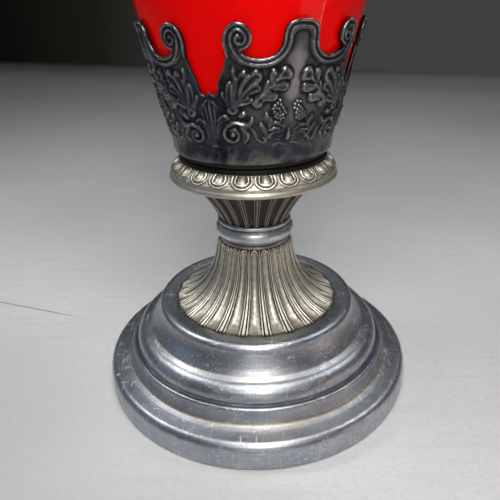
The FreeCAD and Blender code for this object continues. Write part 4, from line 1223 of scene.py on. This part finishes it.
tone = g.mix(g.remap(stain, 0.3, 0.7, 0.0, 1.0), (0.645, 0.645, 0.64), (0.735, 0.74, 0.745))
tone = g.mix(g.math("MULTIPLY", g.remap(strokes, 0.50, 0.72, 0.0, 0.42), g.remap(stain, 0.40, 0.60, 0.15, 1.0)), tone, (0.55, 0.555, 0.56))
tone = g.mix(g.remap(grain, 0.50, 0.72, 0.0, 0.42), tone, (0.51, 0.51, 0.50))
# painted shade: the floor darkens towards the front-left corner and towards the front edge, standing in for the light
# falling off there
corner = g.math("ADD", g.math("MULTIPLY", sp_.outputs["X"], 0.62), g.math("MULTIPLY", sp_.outputs["Y"], 0.78))
tone = g.mix(g.remap(corner, -0.045, -0.17, 0.0, 0.95), tone, (0.44, 0.435, 0.43))
tone = g.mix(g.remap(sp_.outputs["Y"], -0.05, -0.14, 0.0, 0.30), tone, (0.44, 0.44, 0.44))
tone = g.mix(g.math("MULTIPLY", seam, 0.75), tone, (0.16, 0.155, 0.15))
# painted shade: the floor darkens towards its far edge, more on the left, standing in for the light's falloff
tone = g.mix(g.math("MULTIPLY", g.remap(far, 0.0, 0.34, 1.0, 0.0), g.remap(sp_.outputs["X"], -0.7, 0.5, 0.80, 0.15)), tone, (0.02, 0.02, 0.02))
tone = g.mix(g.math("MULTIPLY", g.remap(far, 0.0, 0.09, 1.0, 0.0), g.remap(sp_.outputs["X"], -0.5, 0.5, 0.78, 0.42)), tone, (0.06, 0.06, 0.06))
g.link(tone, b.inputs["Base Color"])
b.inputs["Roughness"].default_value = 0.62
g.link(g.bump(grain, 0.25, 0.0003), b.inputs["Normal"])
me.materials.append(fm)

# a dim wall well behind the lamp; its colour, black on the left and lighter to the right, also drives its emission as a
# painted glow
wm = bpy.data.meshes.new("far_wall")
wm.from_pydata([(-2.6, 2.95, -0.7), (2.5, 0.69, -0.7), (2.5, 0.69, 1.3), (-2.6, 2.95, 1.3)], [], [(0, 1, 2, 3)])
wall = bpy.data.objects.new("far_wall", wm)
scene.collection.objects.link(wall)
mm_, nt, b = mat_new("dim_wall")
g = G(nt)
tc = g.node("ShaderNodeTexCoord")
sx = g.node("ShaderNodeSeparateXYZ")
g.link(tc.outputs["Object"], sx.inputs[0])
wn = g.noise(tc.outputs["Object"], 2.0, 3.0, 0.5)
side = g.math("ADD", sx.outputs["X"], g.math("MULTIPLY", wn, 0.12))
wall_painted_glow = g.ramp(g.remap(side, -1.4, 0.6, 0.0, 1.0), [(0.0, (0.0, 0.0, 0.0)), (0.2, (0.0014, 0.0013, 0.0008)), (0.42, (0.0085, 0.0075, 0.0050)), (0.85, (0.048, 0.047, 0.047))])
g.link(wall_painted_glow, b.inputs["Base Color"])
# painted glow: the wall's gradient colour is also emitted
g.link(wall_painted_glow, b.inputs["Emission Color"])
b.inputs["Emission Strength"].default_value = 0.9
b.inputs["Roughness"].default_value = 0.9
wm.materials.append(mm_)

world = scene.world or bpy.data.worlds.new("world")
scene.world = world
world.use_nodes = True
bg = world.node_tree.nodes["Background"]
bg.inputs["Color"].default_value = (0.86, 0.93, 1.0, 1)
bg.inputs["Strength"].default_value = 0.085


def area(name, loc, target, size, power, color=(1, 1, 1), size_y=None):
    li = bpy.data.lights.new(name, "AREA")
    li.energy = power
    li.color = color
    li.shape = "RECTANGLE"
    li.size = size
    li.size_y = size_y or size
    ob = bpy.data.objects.new(name, li)
    ob.location = loc
    d = Vector(target) - Vector(loc)
    ob.rotation_euler = d.to_track_quat("-Z", "Y").to_euler()
    scene.collection.objects.link(ob)
    return ob


area("low_overhead", (0.01, -0.12, 0.315), (0, 0.02, 0.0), 0.10, 0.44, (1.0, 0.985, 0.96), 0.09)
area("back_overhead", (0.0, 0.38, 0.75), (0, 0.38, 0.0), 0.34, 0.62, (0.98, 0.99, 1.0), 0.34)
area("left_wing", (-0.32, 0.06, 0.46), (-0.26, 0.06, 0.0), 0.12, 0.78, (0.98, 0.99, 1.0), 0.16)
area("right_wing", (0.34, 0.05, 0.48), (0.29, 0.05, 0.0), 0.12, 0.52, (0.99, 0.99, 1.0), 0.16)
area("front_low", (0.01, -0.46, 0.43), (0, 0, 0.08), 0.14, 0.98, (1.0, 0.985, 0.965), 0.11)
area("front_fill", (0.0, -0.62, 0.11), (0, 0, 0.06), 0.22, 0.22, (1.0, 0.98, 0.95), 0.07)
area("left_window", (-0.85, -0.15, 0.30), (0, 0, 0.03), 0.25, 0.16, (0.35, 0.58, 1.0), 0.3)
area("right_glow", (0.235, -0.145, 0.05), (0.02, -0.036, 0.158), 0.11, 0.030, (1.0, 0.74, 0.68), 0.05)
area("right_strip", (0.285, -0.095, 0.05), (0.023, -0.034, 0.156), 0.006, 0.012, (1.0, 0.86, 0.66), 0.06)

# ---------------------------------------------------------------------- camera
cam = bpy.data.cameras.new("camera")
cam.sensor_fit = "HORIZONTAL"
cam.sensor_width = 36.0
cam.lens = 505.0 / 500.0 * 36.0
cam.clip_start = 0.01
cam.clip_end = 20.0
co_ = bpy.data.objects.new("camera", cam)
scene.collection.objects.link(co_)
pitch, roll = 0.456564721, -0.0254707
fwd = Vector((0, math.cos(pitch), -math.sin(pitch)))
up = Vector((0, math.sin(pitch), math.cos(pitch)))
right = Vector((1, 0, 0))
c, s = math.cos(roll), math.sin(roll)
r2 = right * c + up * s
u2 = -right * s + up * c
m = Matrix((r2, u2, -fwd)).transposed().to_4x4()
m.translation = Vector((-2.2334, -205.120, 159.853)) * MM
co_.matrix_world = m
scene.camera = co_

scene.view_settings.view_transform = "Standard"
scene.view_settings.look = "None"
scene.view_settings.exposure = 0.0
